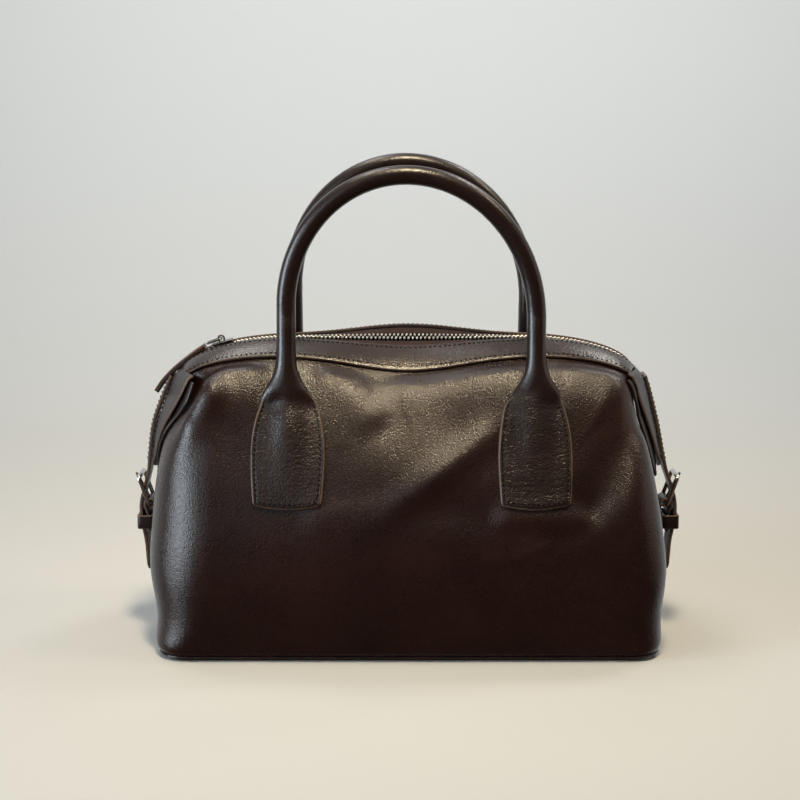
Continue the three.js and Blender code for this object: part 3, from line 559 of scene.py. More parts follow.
def fold_depth(points, folds):
    depth = np.zeros(points.shape[:-1])
    for fold_x, fold_z, turn, long, wide, deep in folds:
        angle = math.radians(turn)
        dx = points[..., 0] - fold_x
        dz = points[..., 2] - fold_z
        along = (dx * math.cos(angle) + dz * math.sin(angle)) / long
        across = (dz * math.cos(angle) - dx * math.sin(angle)) / wide
        depth += deep * np.exp(-(along**2 + across**2))
    return depth


def smooth_rings(rings, steps):
    """More rings between the given ones, on curves through their points."""
    rings = np.array(rings, dtype=float)
    padded = np.concatenate([[2 * rings[0] - rings[1]], rings, [2 * rings[-1] - rings[-2]]])
    dense = []
    for k in range(len(rings) - 1):
        before, here, following, after = padded[k:k + 4]
        for step in range(steps):
            t = step / steps
            slope = (following - before) / 2 * t + (before - 2.5 * here + 2 * following - after / 2) * t**2
            dense.append(here + slope + (1.5 * (here - following) + (after - before) / 2) * t**3)
    dense.append(rings[-1])
    return np.array(dense)


def ridge_height(points, ridges):
    """Height of ridges along lines of x and z.

    Each has its line, a height, a width on its left and right, and a fade at both ends.
    """
    x = points[..., 0]
    z = points[..., 2]
    total = np.zeros(x.shape)
    for line, out, left, right, fade in ridges:
        line = smooth_rings(line, CURVE_STEPS)
        nearest = np.full(x.shape, np.inf)
        on_left = np.zeros(x.shape, dtype=bool)
        walked = np.zeros(x.shape)
        start = 0
        for (ax, az), (bx, bz) in zip(line[:-1], line[1:]):
            dx = bx - ax
            dz = bz - az
            long = math.hypot(dx, dz)
            share = np.clip(((x - ax) * dx + (z - az) * dz) / long**2, 0, 1)
            away = np.hypot(x - ax - share * dx, z - az - share * dz)
            nearer = away < nearest
            nearest = np.where(nearer, away, nearest)
            on_left = np.where(nearer, dx * (z - az) > dz * (x - ax), on_left)
            walked = np.where(nearer, start + share * long, walked)
            start += long
        wide = np.where(on_left, left, right)
        ends = smoothstep(walked, 0, fade) * smoothstep(start - walked, 0, fade)
        total += out * np.exp(-((nearest / wide) ** 2)) * ends
    return total


def smooth_outward(girth, level, is_front):
    return outward_of(lambda along, up: smooth_point(along, up, is_front), girth, level)


def folded_point(girth, level, is_front, outward, finer):
    """The smooth half body with its folds, which go in against a given outward direction."""
    points = smooth_point(girth, level, is_front)
    from_seam = smoothstep(1 - np.abs(girth), *SEAM_FADE)
    below_band = 1 - smoothstep(level, BAND_END_FOOT - BAND_FADE, BAND_FOOT)
    depth = fold_depth(points, FRONT_FOLDS if is_front else BACK_FOLDS) - ridge_height(points, finer)
    return points - outward * (depth * from_seam * below_band)[..., None]


def offset_point(girth, level, is_front, offset, finer=()):
    """A point over the folded leather."""
    smooth = smooth_outward(girth, level, is_front)

    def surface(along, up):
        return folded_point(along, up, is_front, smooth, finer)

    outward = outward_of(surface, girth, level)
    at_seam = np.abs(girth) > 1 - 1e-9
    outward[..., 1] = np.where(at_seam, 0, outward[..., 1])
    return surface(girth, level) + unit(outward) * np.asarray(offset)[..., None]


def on_bag(points, is_front):
    """The back half is made like the front and turned round the middle."""
    return points if is_front else points * np.array([-1.0, -1.0, 1.0])


print("folds:", len(FRONT_FOLDS), "in front,", len(BACK_FOLDS), "at the back")

# %% [markdown]
# Sheets and strips of leather share one kind of section: a flat rectangle with rounded corners. A loft
# through such sections gives the piece its thickness and its rounded edges in one go. The faces round the cut
# edge take a second material, because the real edges are painted in a lighter brown.

# %% Sections and lofts
ROUND_STEPS = 3


def quarter_turn(middle, radius, start, steps):
    """Points round a quarter of a circle, from an angle in degrees."""
    turn = np.radians(np.linspace(start, start + 90, steps))
    return np.asarray(middle) + radius * np.column_stack([np.cos(turn), np.sin(turn)])


def flat_section(half, thick, radius, flat_steps=1):
    """Points round a flat section, and the numbers of the sides along its edges."""
    points = []
    edges = set()
    for right, up, start in ((1, -1, -90), (1, 1, 0), (-1, 1, 90), (-1, -1, 180)):
        middle = (right * (half - radius), up * (thick / 2 - radius))
        edges |= set(range(len(points), len(points) + ROUND_STEPS))
        points.extend(quarter_turn(middle, radius, start, ROUND_STEPS + 1))
        if right * up < 0:
            edges.add(len(points) - 1)
        else:
            for share in np.linspace(0, 1, flat_steps + 1)[1:-1]:
                points.append((middle[0] * (1 - 2 * share), up * thick / 2))
    return np.array(points), edges


def loft_piece(name, rings, closed=False, second=()):
    """A closed skin through rings of points. The columns named in second take the second material."""
    count, sides = rings.shape[:2]
    rows = count if closed else count - 1
    piece = grid_piece(name, sides, rows, lambda u, v: np.stack([u, v, 0 * u], axis=1) / MM)
    columns = [min(int(polygon.center.x * sides), sides - 1) for polygon in piece.data.polygons]
    piece.data.polygons.foreach_set("material_index", [int(column in second) for column in columns])
    shares = mesh_points(piece.data)
    column = np.rint(shares[:, 0] * sides).astype(int) % sides
    row = np.rint(shares[:, 1] * rows).astype(int) % count
    move_points(piece.data, rings[row, column])
    steps = [lambda: bpy.ops.mesh.remove_doubles(threshold=1e-7)]
    if not closed:
        steps.append(lambda: bpy.ops.mesh.fill_holes(sides=0))
    steps.append(lambda: bpy.ops.mesh.normals_make_consistent(inside=False))
    edit_all(piece, *steps)
    return piece


print("points round a strip:", len(flat_section(8, 2, 0.6)[0]))

# %% [markdown]
# ## Panels
# Each half of the body is one sheet of leather that wraps round both corners. It is lofted from end to end
# through thin rounded sections that follow the folds, so its wall and its rim come in one go. The rim takes
# the edge paint.

# %% Leather sheets
WALL = 2.0
SHEET_ROUND = 0.5
PANEL_TOP = 10.1
PANEL_GRID = (280, 130)
PANEL_TALL = 190
# girth from which a panel's top and a band's lower edge fall towards the end seam
FALL_FROM = FACE_SHARE - 0.08
# each ridge: its line from left to right or downwards, its height, its widths on the left and right, its fade
FINE_FRONT = [
    ([(-66, 86), (-40, 88), (-22, 91), (-8, 94.5), (4, 101), (18, 112), (40, 128), (56, 136)],
     1.1, 9, 11, 16),
    ([(44, 86), (70, 85), (93, 84.5), (108, 90)], 2.6, 10, 6, 14),
    ([(136, 146), (129, 127), (122, 110), (111, 95), (96, 81)], -1.8, 8, 8, 16),
    ([(140, 118), (134, 102), (122, 87), (102, 73), (76, 61)], 0.4, 6, 8, 18),
    ([(-113, 166), (-118, 154), (-124, 142), (-130, 125)], 2.2, 16, 6, 12),
    ([(-119, 152), (-127, 130), (-134, 104), (-138, 76)], 1.4, 26, 12, 30),
    ([(-130, 143), (-120, 154), (-110, 161), (-97, 164.5), (-76, 166)], 4.6, 6, 22, 21),
    ([(-24, 153), (0, 160.5), (28, 164), (60, 166), (88, 166)], 4.0, 6, 25, 28),
    ([(76, 166), (92, 165), (108, 163), (122, 157), (133, 146)], 3.6, 6, 24, 20),
    ([(-58, 170), (-42, 162), (-26, 150), (-12, 134)], 2.0, 10, 12, 14),
    ([(140, 20), (126, 30), (108, 42), (92, 50)], 0.7, 4, 5, 12),
    ([(144, 36), (130, 46), (118, 54)], -0.6, 4, 4, 8),
    ([(138, 8), (122, 15), (104, 22)], -0.6, 4, 4, 10),
    ([(86, 74), (70, 66), (54, 62), (40, 64)], 0.5, 3, 3, 10),
]
FINE_BACK = [
    ([(-60, 88), (-20, 90), (10, 102), (50, 124)], 1.6, 14, 6, 16),
    ([(-120, 140), (-110, 116), (-96, 96)], -1.4, 8, 8, 14),
    ([(112, 160), (122, 140), (132, 112)], 1.4, 7, 7, 12),
]


def end_share(girth):
    return smoothstep(np.abs(girth), FALL_FROM, 1)


def finish_piece(piece, materials, nodes, body="bag", angle=40):
    """Materials, smooth shading, the body that carries the piece and the solids that it stands for."""
    for material in materials:
        piece.data.materials.append(material)
    select_only(piece)
    bpy.ops.object.shade_smooth_by_angle(angle=math.radians(angle))
    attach(piece, body)
    if nodes:
        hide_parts(*nodes)


def sheet_piece(name, is_front, girths, section, level_at, offset, finer=()):
    """A sheet on a half body. The section gives shares of its height and distances from its middle."""
    points, edges = section
    girth, share = np.meshgrid(girths, points[:, 0], indexing="ij")
    level = level_at(girth, share)
    away = offset + np.broadcast_to(points[:, 1], girth.shape)
    rings = offset_point(girth.ravel(), level.ravel(), is_front, away.ravel(), finer)
    rings = on_bag(rings, is_front).reshape(*girth.shape, 3)
    return loft_piece(name, rings, False, edges)


def sheet_section(wide, thick, radius, flat_steps):
    points, edges = flat_section(wide / 2, thick, radius, flat_steps)
    points[:, 0] = points[:, 0] / wide + 0.5
    return points, edges


def panel_level(girth, share):
    lowered = BAND_FOOT - BAND_END_FOOT
    return share * PANEL_TOP * (1 - end_share(girth) * lowered / PANEL_TOP)


def panel_piece(is_front):
    half = "front" if is_front else "back"
    girths = np.linspace(-1, 1, PANEL_GRID[0])
    section = sheet_section(PANEL_TALL, WALL, SHEET_ROUND, PANEL_GRID[1])
    fine = FINE_FRONT if is_front else FINE_BACK
    piece = sheet_piece(f"{half}_leather", is_front, girths, section, panel_level, -WALL / 2, fine)
    finish_piece(piece, [body_leather, edge_paint], [f"{half}_panel"])
    return piece


panels = [panel_piece(True), panel_piece(False)]
print("panel faces:", [len(p.data.polygons) for p in panels])

# %% [markdown]
# ## Bands and zip cloth
# A stitched band covers the top edge of each panel, and the cloth of the zip runs between the bands.

# %% Bands
BAND = 1.6
BAND_GAP = 0.5
BAND_HEAD_DEPTH = 8.6
BAND_WIDE = 22
BAND_GRID = (260, 10)
TAPE = 0.8
TAPE_FOOT = 10.3
TAPE_HEAD_DEPTH = 3.2
TAPE_WIDE = 15
TAPE_ROUND = 0.2
TAPE_GRID = (220, 8)
TAPE_END = 0.985
TAPE_SINK = 0.1
# a level below the heads of the band and the tape, from which they are looked for
BELOW_HEADS = 9
HALVINGS = 50


def level_where(column, wanted, low, high):
    """The level between two others at which a falling column of the table has the value that is wanted."""
    for _ in range(HALVINGS):
        middle = (low + high) / 2
        if section_value(column, middle) > wanted:
            low = middle
        else:
            high = middle
    return (low + high) / 2


BAND_HEAD = level_where("depth", BAND_HEAD_DEPTH, BELOW_HEADS, TOP_LEVEL)
TAPE_HEAD = level_where("depth", TAPE_HEAD_DEPTH, BELOW_HEADS, TOP_LEVEL)


def band_level(girth, share):
    foot = BAND_FOOT + (BAND_END_FOOT - BAND_FOOT) * end_share(girth)
    return foot + (BAND_HEAD - foot) * share


def band_piece(is_front):
    half = "front" if is_front else "back"
    girths = np.linspace(-1, 1, BAND_GRID[0])
    section = sheet_section(BAND_WIDE, BAND, SHEET_ROUND, BAND_GRID[1])
    piece = sheet_piece(f"{half}_top_band", is_front, girths, section, band_level, BAND_GAP + BAND / 2)
    finish_piece(piece, [band_leather, edge_paint], [f"{half}_band"])
    return piece


bands = [band_piece(True), band_piece(False)]
print("band faces:", [len(b.data.polygons) for b in bands])


# %% Cloth of the zip
def tape_level(girth, share):
    return TAPE_FOOT + (TAPE_HEAD - TAPE_FOOT) * share


def tape_piece(is_front):
    half = "front" if is_front else "back"
    girths = np.linspace(-TAPE_END, TAPE_END, TAPE_GRID[0])
    section = sheet_section(TAPE_WIDE, TAPE, TAPE_ROUND, TAPE_GRID[1])
    piece = sheet_piece(f"zip_cloth_{half}", is_front, girths, section, tape_level, -TAPE_SINK - TAPE / 2)
    finish_piece(piece, [zip_cloth, zip_cloth], [f"zip_tape_{half}"])
    return piece


tapes = [tape_piece(True), tape_piece(False)]
print("cloth faces:", [len(t.data.polygons) for t in tapes])

# %% [markdown]
# ## Stitches
# One stitch is a small rounded bead of thread. It is modelled once, from a sphere, and copied along a line on
# the leather, each copy turned along the line and half sunk in it.


# %% One small shape, and copies of it
def taken_apart(piece):
    """Points and faces of a shape that is only copied. The shape itself is removed."""
    points = mesh_points(piece.data)
    faces = [tuple(polygon.vertices) for polygon in piece.data.polygons]
    bpy.data.objects.remove(piece)
    return points, faces


def copies_piece(name, shape, places):
    """Copies of one small shape as one mesh. Each place is an origin and three axes, in millimetres."""
    shape_points, shape_faces = shape
    points = []
    faces = []
    for origin, first, second, third in places:
        start = len(points) * len(shape_points)
        points.append(origin + shape_points @ np.stack([first, second, third]))
        faces.extend(tuple(start + index for index in face) for face in shape_faces)
    mesh = bpy.data.meshes.new(name)
    mesh.from_pydata((np.concatenate(points) * MM).tolist(), [], faces)
    mesh.update()
    piece = bpy.data.objects.new(name, mesh)
    bpy.context.collection.objects.link(piece)
    return piece


def walked_along(line):
    """Distance walked from the start of a line to each of its points."""
    return np.concatenate([[0], np.cumsum(np.linalg.norm(np.diff(line, axis=0), axis=1))])


def point_on(line, walked, at):
    return np.stack([np.interp(at, walked, line[:, axis]) for axis in range(3)], axis=-1)


def tangent_on(line, walked, at, reach):
    return unit(point_on(line, walked, at + reach) - point_on(line, walked, at - reach))


print("walk of 3 and 4 mm:", walked_along(np.array([[0, 0], [3, 0], [3, 4]]))[-1])

# %% One stitch, and rows of it
STITCH = {"long": 1.6, "pitch": 2.9, "half": 0.52}
TANGENT_REACH = 0.4

bpy.ops.object.select_all(action="DESELECT")
bpy.ops.mesh.primitive_uv_sphere_add(segments=6, ring_count=5, radius=1, location=(0, 0, 0))
bead_points, bead_faces = taken_apart(bpy.context.object)
stitch_shape = (bead_points[:, [2, 0, 1]], bead_faces)


def stitch_places(line, outward):
    """Places of the stitches along a line of points with outward directions."""
    walked = walked_along(line)
    count = max(int(walked[-1] / STITCH["pitch"]), 1)
    places = []
    for k in range(count):
        at = (k + 0.5) * walked[-1] / count
        up = unit(point_on(outward, walked, at))
        tangent = tangent_on(line, walked, at, TANGENT_REACH)
        across = unit(np.cross(up, tangent))
        spot = point_on(line, walked, at)
        places.append((spot, tangent * STITCH["long"] / 2, across * STITCH["half"], up * STITCH["half"]))
    return places


def stitched(name, places):
    piece = copies_piece(name, stitch_shape, places)
    finish_piece(piece, [thread], [], "bag", 80)


print("stitch faces:", len(bead_faces))

# %% Stitches along the bands
BAND_STITCH = {"reach": 0.97, "points": 900, "sink": 0.1, "shares": (0.13, 0.86)}


def band_line(is_front, share_at):
    girth = np.linspace(-BAND_STITCH["reach"], BAND_STITCH["reach"], BAND_STITCH["points"])
    level = band_level(girth, share_at)
    offset = np.full_like(girth, BAND_GAP + BAND - BAND_STITCH["sink"])
    line = offset_point(girth, level, is_front, offset)
    outward = offset_point(girth, level, is_front, offset + 1) - line
    return on_bag(line, is_front), on_bag(outward, is_front)


band_stitches = []
for is_front in (True, False):
    for share_at in BAND_STITCH["shares"]:
        band_stitches += stitch_places(*band_line(is_front, share_at))
stitched("band_stitches", band_stitches)
print("band stitches:", len(band_stitches))

# %% [markdown]
# ## Handles
# Each handle is one piece of leather: rolled round a cord over the arch, and opened out flat into a
# bottle-shaped tab at both feet. Rings of points run from one tab over the arch to the other. A ring's points
# keep their order, so the flat outline of the tab turns smoothly into the round of the leg.

# %% Sizes of the handles
TAB_REACH = 71.5
LEG_REACH = 73
HANDLE_MIDDLE = {"legs": 1.6, "top": -1.4}
HANDLE_RADIUS = 5.65
HANDLE_TOPS = {True: 286, False: 291}
ARCH_TALL = 80
ARCH_Y = 34.3
ARCH_STEPS = 25
TAB_GAP = 0.45
TAB_BOW = 2.3
TAB_EDGE = 2.6
TAB_ROUND = 1.0
TAB_STITCH_IN = 2.4
GROOVE = {"deep": 0.25, "half": 0.45}
# half width below which a tab's points move closer together
TAB_FULL = 17.5
# height, half width, hump of the rolled leather and half width of the roll
TAB_ROWS = [
    (92.5, 18.4, 0, 7.5), (93.2, 19.4, 0, 7.5), (94.8, 20.0, 0, 7.5), (101, 20.6, 0.2, 7.5),
    (110, 21.2, 0.8, 7.5), (120, 21.5, 1.8, 7.5), (130, 20.9, 3.2, 7.5), (139, 19.3, 3.6, 8.2),
    (147, 16.8, 3.6, 9.2),
]
# height, distance from the zip, half width and half thickness
LEG_ROWS = [
    (157, 43.2, 12.6, 5.0), (164, 41.4, 8.4, 5.5), (171, 39.7, 6.2, 5.65), (182, 37.4, 5.65, 5.65),
    (195, 35.5, 5.65, 5.65),
]
# heights and shares of the full thickness where the foot of a tab is rounded
FOOT_ROUND = ([92.5, 93.2, 94.8], [0.35, 0.8, 1.0])
# distances of a tab's upper points from its edge
TAB_STEPS = [0, 0.15, 0.45, 0.9, 1.5, 2.0, 2.4, 2.8, 3.5, 5, 7.5, 11, 15]
UNDER_STEPS = 9


def face_point(x, z, is_front, offset):
    """A point over the face of a half body, found from its place in the front view."""
    low = np.zeros_like(x)
    high = np.full_like(x, TOP_LEVEL - 1.0)
    for _ in range(HALVINGS):
        middle = (low + high) / 2
        below = height_at(middle, x, is_front) < z
        low = np.where(below, middle, low)
        high = np.where(below, high, middle)
    left, right = face_edges(low, is_front)
    girth = FACE_SHARE * (2 * (x - left) / (right - left) - 1)
    return offset_point(girth, low, is_front, offset, FINE_FRONT if is_front else FINE_BACK)


def leg_middle(is_front):
    return HANDLE_MIDDLE["legs"] if is_front else -HANDLE_MIDDLE["legs"]


print("handle sizes set")


# %% Rings of a handle
def tab_lift(inset, across, half, hump, roll):
    """Height of a tab's upper face: a rounded edge, a shallow stitching groove and the hump of the roll."""
    into = np.minimum(inset, TAB_ROUND)
    edge = TAB_EDGE - TAB_ROUND + np.sqrt(TAB_ROUND**2 - (TAB_ROUND - into) ** 2)
    groove = GROOVE["deep"] * np.exp(-(((inset - TAB_STITCH_IN) / GROOVE["half"]) ** 2))
    return edge - groove + hump * np.exp(-((across * half / roll) ** 2))


def tab_ring(side, row, is_front):
    height, half, hump, roll = row
    low = TAB_ROWS[0][0]
    high = TAB_ROWS[-1][0]
    bow = TAB_BOW * (1 - (height - low) / (high - low))
    insets = np.array(TAB_STEPS) * min(1, half / TAB_FULL)
    inset = np.concatenate([insets, [half], insets[::-1]])
    sign = np.concatenate([np.ones(len(insets) + 1), -np.ones(len(insets))])
    across = sign * (1 - inset / half)
    lift = tab_lift(inset, across, half, hump, roll) * np.interp(height, *FOOT_ROUND)
    under = np.linspace(-1, 1, UNDER_STEPS)
    across = np.concatenate([across, under])
    lift = np.concatenate([lift, np.zeros(UNDER_STEPS)])
    x = leg_middle(is_front) + side * (TAB_REACH + across * half)
    z = height - bow * (1 - across**2)
    return face_point(x, z, is_front, TAB_GAP + lift)


def ring_angles():
    over = np.linspace(0, math.pi, 2 * len(TAB_STEPS) + 1)
    under = np.linspace(math.pi, 2 * math.pi, UNDER_STEPS + 2)[1:-1]
    return np.concatenate([over, under])


def tube_ring(middle, outwards, half, thick):
    angle = ring_angles()
    ring = middle + np.outer(half * np.cos(angle), outwards)
    ring[:, 1] -= thick * np.sin(angle)
    return ring


def handle_rings(is_front):
    middle_x = leg_middle(is_front)
    foot = HANDLE_TOPS[is_front] - HANDLE_RADIUS - ARCH_TALL
    lean = (HANDLE_MIDDLE["top"] - HANDLE_MIDDLE["legs"]) * (1 if is_front else -1)
    halves = {}
    for side in (-1, 1):
        rings = [tab_ring(side, row, is_front) for row in TAB_ROWS]
        for height, away, half, thick in LEG_ROWS:
            middle = np.array([middle_x + side * LEG_REACH, -away, height])
            rings.append(tube_ring(middle, np.array([side, 0, 0]), half, thick))
        halves[side] = rings
    arch = []
    for angle in np.linspace(math.pi, 0, ARCH_STEPS):
        outwards = unit(np.array([math.cos(angle) / LEG_REACH, 0, math.sin(angle) / ARCH_TALL]))
        x = middle_x + LEG_REACH * math.cos(angle) + lean * math.sin(angle)
        middle = np.array([x, -ARCH_Y, foot + ARCH_TALL * math.sin(angle)])
        arch.append(tube_ring(middle, outwards, HANDLE_RADIUS, HANDLE_RADIUS))
    return smooth_rings(halves[-1] + arch + halves[1][::-1], CURVE_STEPS)


print("points round a ring:", len(ring_angles()))

# %% Handles from their rings
# heights up to which the edges and the foot of a tab are painted, and how far the foot's faces look down
PAINT_TOP = 152
FOOT_TOP = 97
FOOT_FACING = -0.3


def handle_piece(is_front):
    half = "front" if is_front else "back"
    rings = on_bag(handle_rings(is_front), is_front)
    upper = 2 * len(TAB_STEPS)
    edge_columns = {0, 1, 2, upper - 3, upper - 2, upper - 1, upper, upper + UNDER_STEPS}
    piece = loft_piece(f"rolled_handle_{half}", rings, False, edge_columns)
    for polygon in piece.data.polygons:
        height = polygon.center.z / MM
        if height > PAINT_TOP:
            polygon.material_index = 0
        elif height < FOOT_TOP and polygon.normal.z < FOOT_FACING:
            polygon.material_index = 1
    finish_piece(piece, [handle_leather, edge_paint], [f"handle_{half}"], "bag", 50)
    return piece


handles = [handle_piece(True), handle_piece(False)]
print("handle faces:", [len(h.data.polygons) for h in handles])

# %% Stitches round the tabs
STITCHED_HEIGHTS = (95.2, 147)
SIDE_POINTS = 60
FOOT_POINTS = 28
STITCH_SUNK = {"side": 0.28, "foot": 0.05}


def down_and_up(values, at_foot):
    """Values down one side of a tab, along its foot and up the other side."""
    return np.concatenate([values[::-1], np.full(FOOT_POINTS, at_foot), values])


def tab_stitch_line(side, is_front):
    rows = np.array(TAB_ROWS)
    heights = np.linspace(*STITCHED_HEIGHTS, SIDE_POINTS)
    half, hump, roll = (np.interp(heights, rows[:, 0], rows[:, column]) for column in (1, 2, 3))
    inner = 1 - TAB_STITCH_IN / half
    along_foot = np.linspace(-1, 1, FOOT_POINTS + 2)[1:-1] * inner[0]
    across = np.concatenate([-inner[::-1], along_foot, inner])
    z = down_and_up(heights, heights[0])
    wide = down_and_up(half, half[0])
    raised = down_and_up(hump, hump[0])
    rolled = down_and_up(roll, roll[0])
    sunk = down_and_up(np.full(SIDE_POINTS, STITCH_SUNK["side"]), STITCH_SUNK["foot"])
    bow = TAB_BOW * np.clip(1 - (z - rows[0, 0]) / (rows[-1, 0] - rows[0, 0]), 0, 1)
    x = leg_middle(is_front) + side * (TAB_REACH + across * wide)
    lift = TAB_GAP + TAB_EDGE - sunk + raised * np.exp(-((across * wide / rolled) ** 2))
    z = z - bow * (1 - across**2)
    line = face_point(x, z, is_front, lift)
    outward = face_point(x, z, is_front, lift + 1) - line
    return on_bag(line, is_front), on_bag(outward, is_front)


tab_stitches = []
for is_front in (True, False):
    for side in (-1, 1):
        tab_stitches += stitch_places(*tab_stitch_line(side, is_front))
stitched("tab_stitches", tab_stitches)
print("tab stitches:", len(tab_stitches))

# %% [markdown]
# ## Base
# The base is a stiff leather plate. Its edge is rounded, and a thin welt is sewn between it and the panels.

# %% Base
BASE_THICK = 2.3
BASE_INSET = 0.6
BASE_CORNER_STEPS = 12
# how much further in than the base's edge, and height
BASE_ROWS = [(1.0, 0.0), (0.3, 0.35), (0, 1.0), (0, 1.8), (0.5, BASE_THICK)]


def base_ring(inset, height):
    """Points round the base at a height, drawn in by an inset."""
    points = []
    depth = section_value("depth", 0.0) - inset
    for side, towards, start in ((-1, -1, 180), (1, -1, 270), (1, 1, 0), (-1, 1, 90)):
        reach, radius = corner_at(np.array(side), np.array(0.0), True)
        middle = (side * (reach - inset - radius), towards * (depth - radius))
        points.extend(quarter_turn(middle, radius, start, BASE_CORNER_STEPS))
    return np.column_stack([points, np.full(len(points), height)])


base_rings = np.array([base_ring(BASE_INSET + inset, height) for inset, height in BASE_ROWS])
base = loft_piece("base_plate", base_rings)
finish_piece(base, [body_leather], ["base_panel"], "bag", 60)
print("base faces:", len(base.data.polygons))

# %% Welt
WELT = {"out": 0.35, "height": 2.45, "radius": 0.75, "sides": 8}


def ahead_round(line):
    """Directions along a closed line."""
    return unit(np.roll(line, -1, axis=0) - np.roll(line, 1, axis=0))


def full_turn(sides):
    return np.linspace(0, 2 * math.pi, sides, endpoint=False)[None, :, None]


def closed_tube_rings(line, radius, sides):
    """Rings of a round tube along a closed line."""
    ahead = ahead_round(line)
    first = np.cross(ahead, np.array([0.0, 0.0, 1.0]))
    weak = np.linalg.norm(first, axis=1) < 1e-6
    first[weak] = np.array([0.0, 1.0, 0.0])
    first = unit(first)
    second = np.cross(first, ahead)
    turn = full_turn(sides)
    return line[:, None] + radius * (np.cos(turn) * first[:, None] + np.sin(turn) * second[:, None])


welt_line = base_ring(-WELT["out"], WELT["height"])
welt = loft_piece("base_welt", closed_tube_rings(welt_line, WELT["radius"], WELT["sides"]), True)
finish_piece(welt, [band_leather], [], "bag", 80)
print("welt faces:", len(welt.data.polygons))

# %% [markdown]
# ## Leather at the ends
# At each end three layers hang over the bag: the strap, the tongue that closes the bands, and a rounded flap
# under them. Each is a strip with rounded edges that follows a path in the plane of the zip. The front halves
# of the tongue and the flap are drawn forward round the corner and laid over the panel. The cut edges are a
# second material.

# %% Strips
STRAP = 2.0
STRAP_HALF = 8.5
TONGUE_HALF = 13
FLAP_HALF = 16.5
STRIP_TIP = {"long": 7, "drawn_in": 0.9, "least": 0.05}
# distance from the middle of the bag, height, and how much further out it hangs on the left
SIDE_STRAP = [
    (143.0, 159.0, 0), (146.8, 146.0, 2), (150.9, 130.0, 3.5), (154.4, 113.0, 2.5), (157.2, 101.0, 1),
    (160.8, 90.5, 0), (163.2, 80.0, 0), (162.8, 69.0, 0), (160.6, 56.0, 0), (159.4, 37.5, 0),
]
TONGUE = [
    (136.2, 163.4, 0), (139.8, 160.0, 0), (143.4, 147.5, 1.5), (147.8, 130.0, 3.2), (151.2, 113.5, 2.3),
    (153.3, 103.0, 1.2),
]
FLAP = [
    (136.8, 160.0, 0.4), (140.8, 146.0, 1.4), (145.0, 130.0, 2.8), (148.6, 113.0, 2.0), (150.2, 96.0, 1.5),
]
# height, and how far the front edge comes forward there, at the left end and at the right end
TONGUE_FRONT = [
    (103, 12, 12), (113, 15, 15), (123, 19, 18), (133, 24, 21), (142, 29, 24), (150, 33, 26), (158, 35, 27),
]
FLAP_FRONT = [
    (96, 13, 13), (104, 17, 17), (115, 21.5, 21.5), (128, 27, 25), (138, 32, 28), (145, 36.5, 30),
    (149, 38.5, 31), (156, 38.5, 31),
]
FRONT_BEND = {"from": 12, "slope": 0.44}
LAID_GAP = 0.3
TONGUE_GAP = LAID_GAP + STRAP + LAID_GAP
# distance from the middle of the bag, well outside it, from which the panel is looked for, in metres
RAY_START = 0.25
PATH_STEP = 1.0
PATH_CURVE_STEPS = 24
FRONT_CURVE_STEPS = 8
STRIP_ROUND = 0.6
STRIP_STEPS = 12
SIDES = (("left", -1), ("right", 1))
EDGE_COLUMNS = flat_section(STRAP_HALF, STRAP, STRIP_ROUND)[1]


def spaced_path(rows, side):
    """Evenly spaced points on a smooth curve through rows of distance, height and slack."""
    rows = np.array([(side * (row[0] + (row[2] if side < 0 else 0)), 0, row[1]) for row in rows])
    dense = smooth_rings(rows[:, None], PATH_CURVE_STEPS)[:, 0]
    walked = walked_along(dense)
    return point_on(dense, walked, np.linspace(0, walked[-1], int(walked[-1] / PATH_STEP) + 1))


def line_normal(line):
    """Directions square to a line in the plane of the zip."""
    ahead = unit(np.gradient(line, axis=0))
    return np.column_stack([-ahead[:, 2], 0 * ahead[:, 0], ahead[:, 0]])


def strip_rings(line, thick, half_at, radius, flat_steps=1):
    """Rings of a strip along a line in the plane of the zip. Its width runs along Y."""
    rings = []
    for spot, up, half in zip(line, line_normal(line), half_at):
        section = flat_section(half, thick, radius, flat_steps)[0]
        rings.append(spot + section[:, :1] * np.array([0, 1, 0]) + section[:, 1:] * up)
    return np.array(rings)


def rounded_tip(line, half):
    """Half widths along a line that round off before its far end."""
    left = np.linalg.norm(line - line[-1], axis=1)
    into = np.clip(1 - left / STRIP_TIP["long"], 0, 1)
    return half * np.sqrt(np.maximum(1 - STRIP_TIP["drawn_in"] * into**2, STRIP_TIP["least"]))


print("points along a strap:", len(spaced_path(SIDE_STRAP, 1)))


# %% Strips drawn forward and laid over the panel
def drawn_forward(rings, side, half, front_rows):
    """Draws the front half of a strip forward and bends it in towards the corner of the bag."""
    dense = smooth_rings(np.array(front_rows, dtype=float)[:, None], FRONT_CURVE_STEPS)[:, 0]
    reach = np.interp(rings[:, :1, 2], dense[:, 0], dense[:, 1 if side < 0 else 2])
    front = rings[:, :, 1] < 0
    y = np.where(front, rings[:, :, 1] * reach / half, rings[:, :, 1])
    inwards = np.maximum(-y - FRONT_BEND["from"], 0) * FRONT_BEND["slope"]
    return np.stack([rings[:, :, 0] - side * inwards, y, rings[:, :, 2]], axis=-1)


def laid_over(rings, side, section, gap):
    """Moves the front of a strip out wherever it would sink into the panel under it."""
    gaps = gap + side * section[:, 1] - np.min(side * section[:, 1])
    for ring in rings:
        for column in np.nonzero(ring[:, 1] < -FRONT_BEND["from"])[0]:
            start = (side * RAY_START, ring[column, 1] * MM, ring[column, 2] * MM)
            hit, place, _, _ = panels[0].ray_cast(start, (-side, 0, 0))
            if hit:
                ring[column, 0] = side * max(side * ring[column, 0], side * place[0] / MM + gaps[column])
    return rings


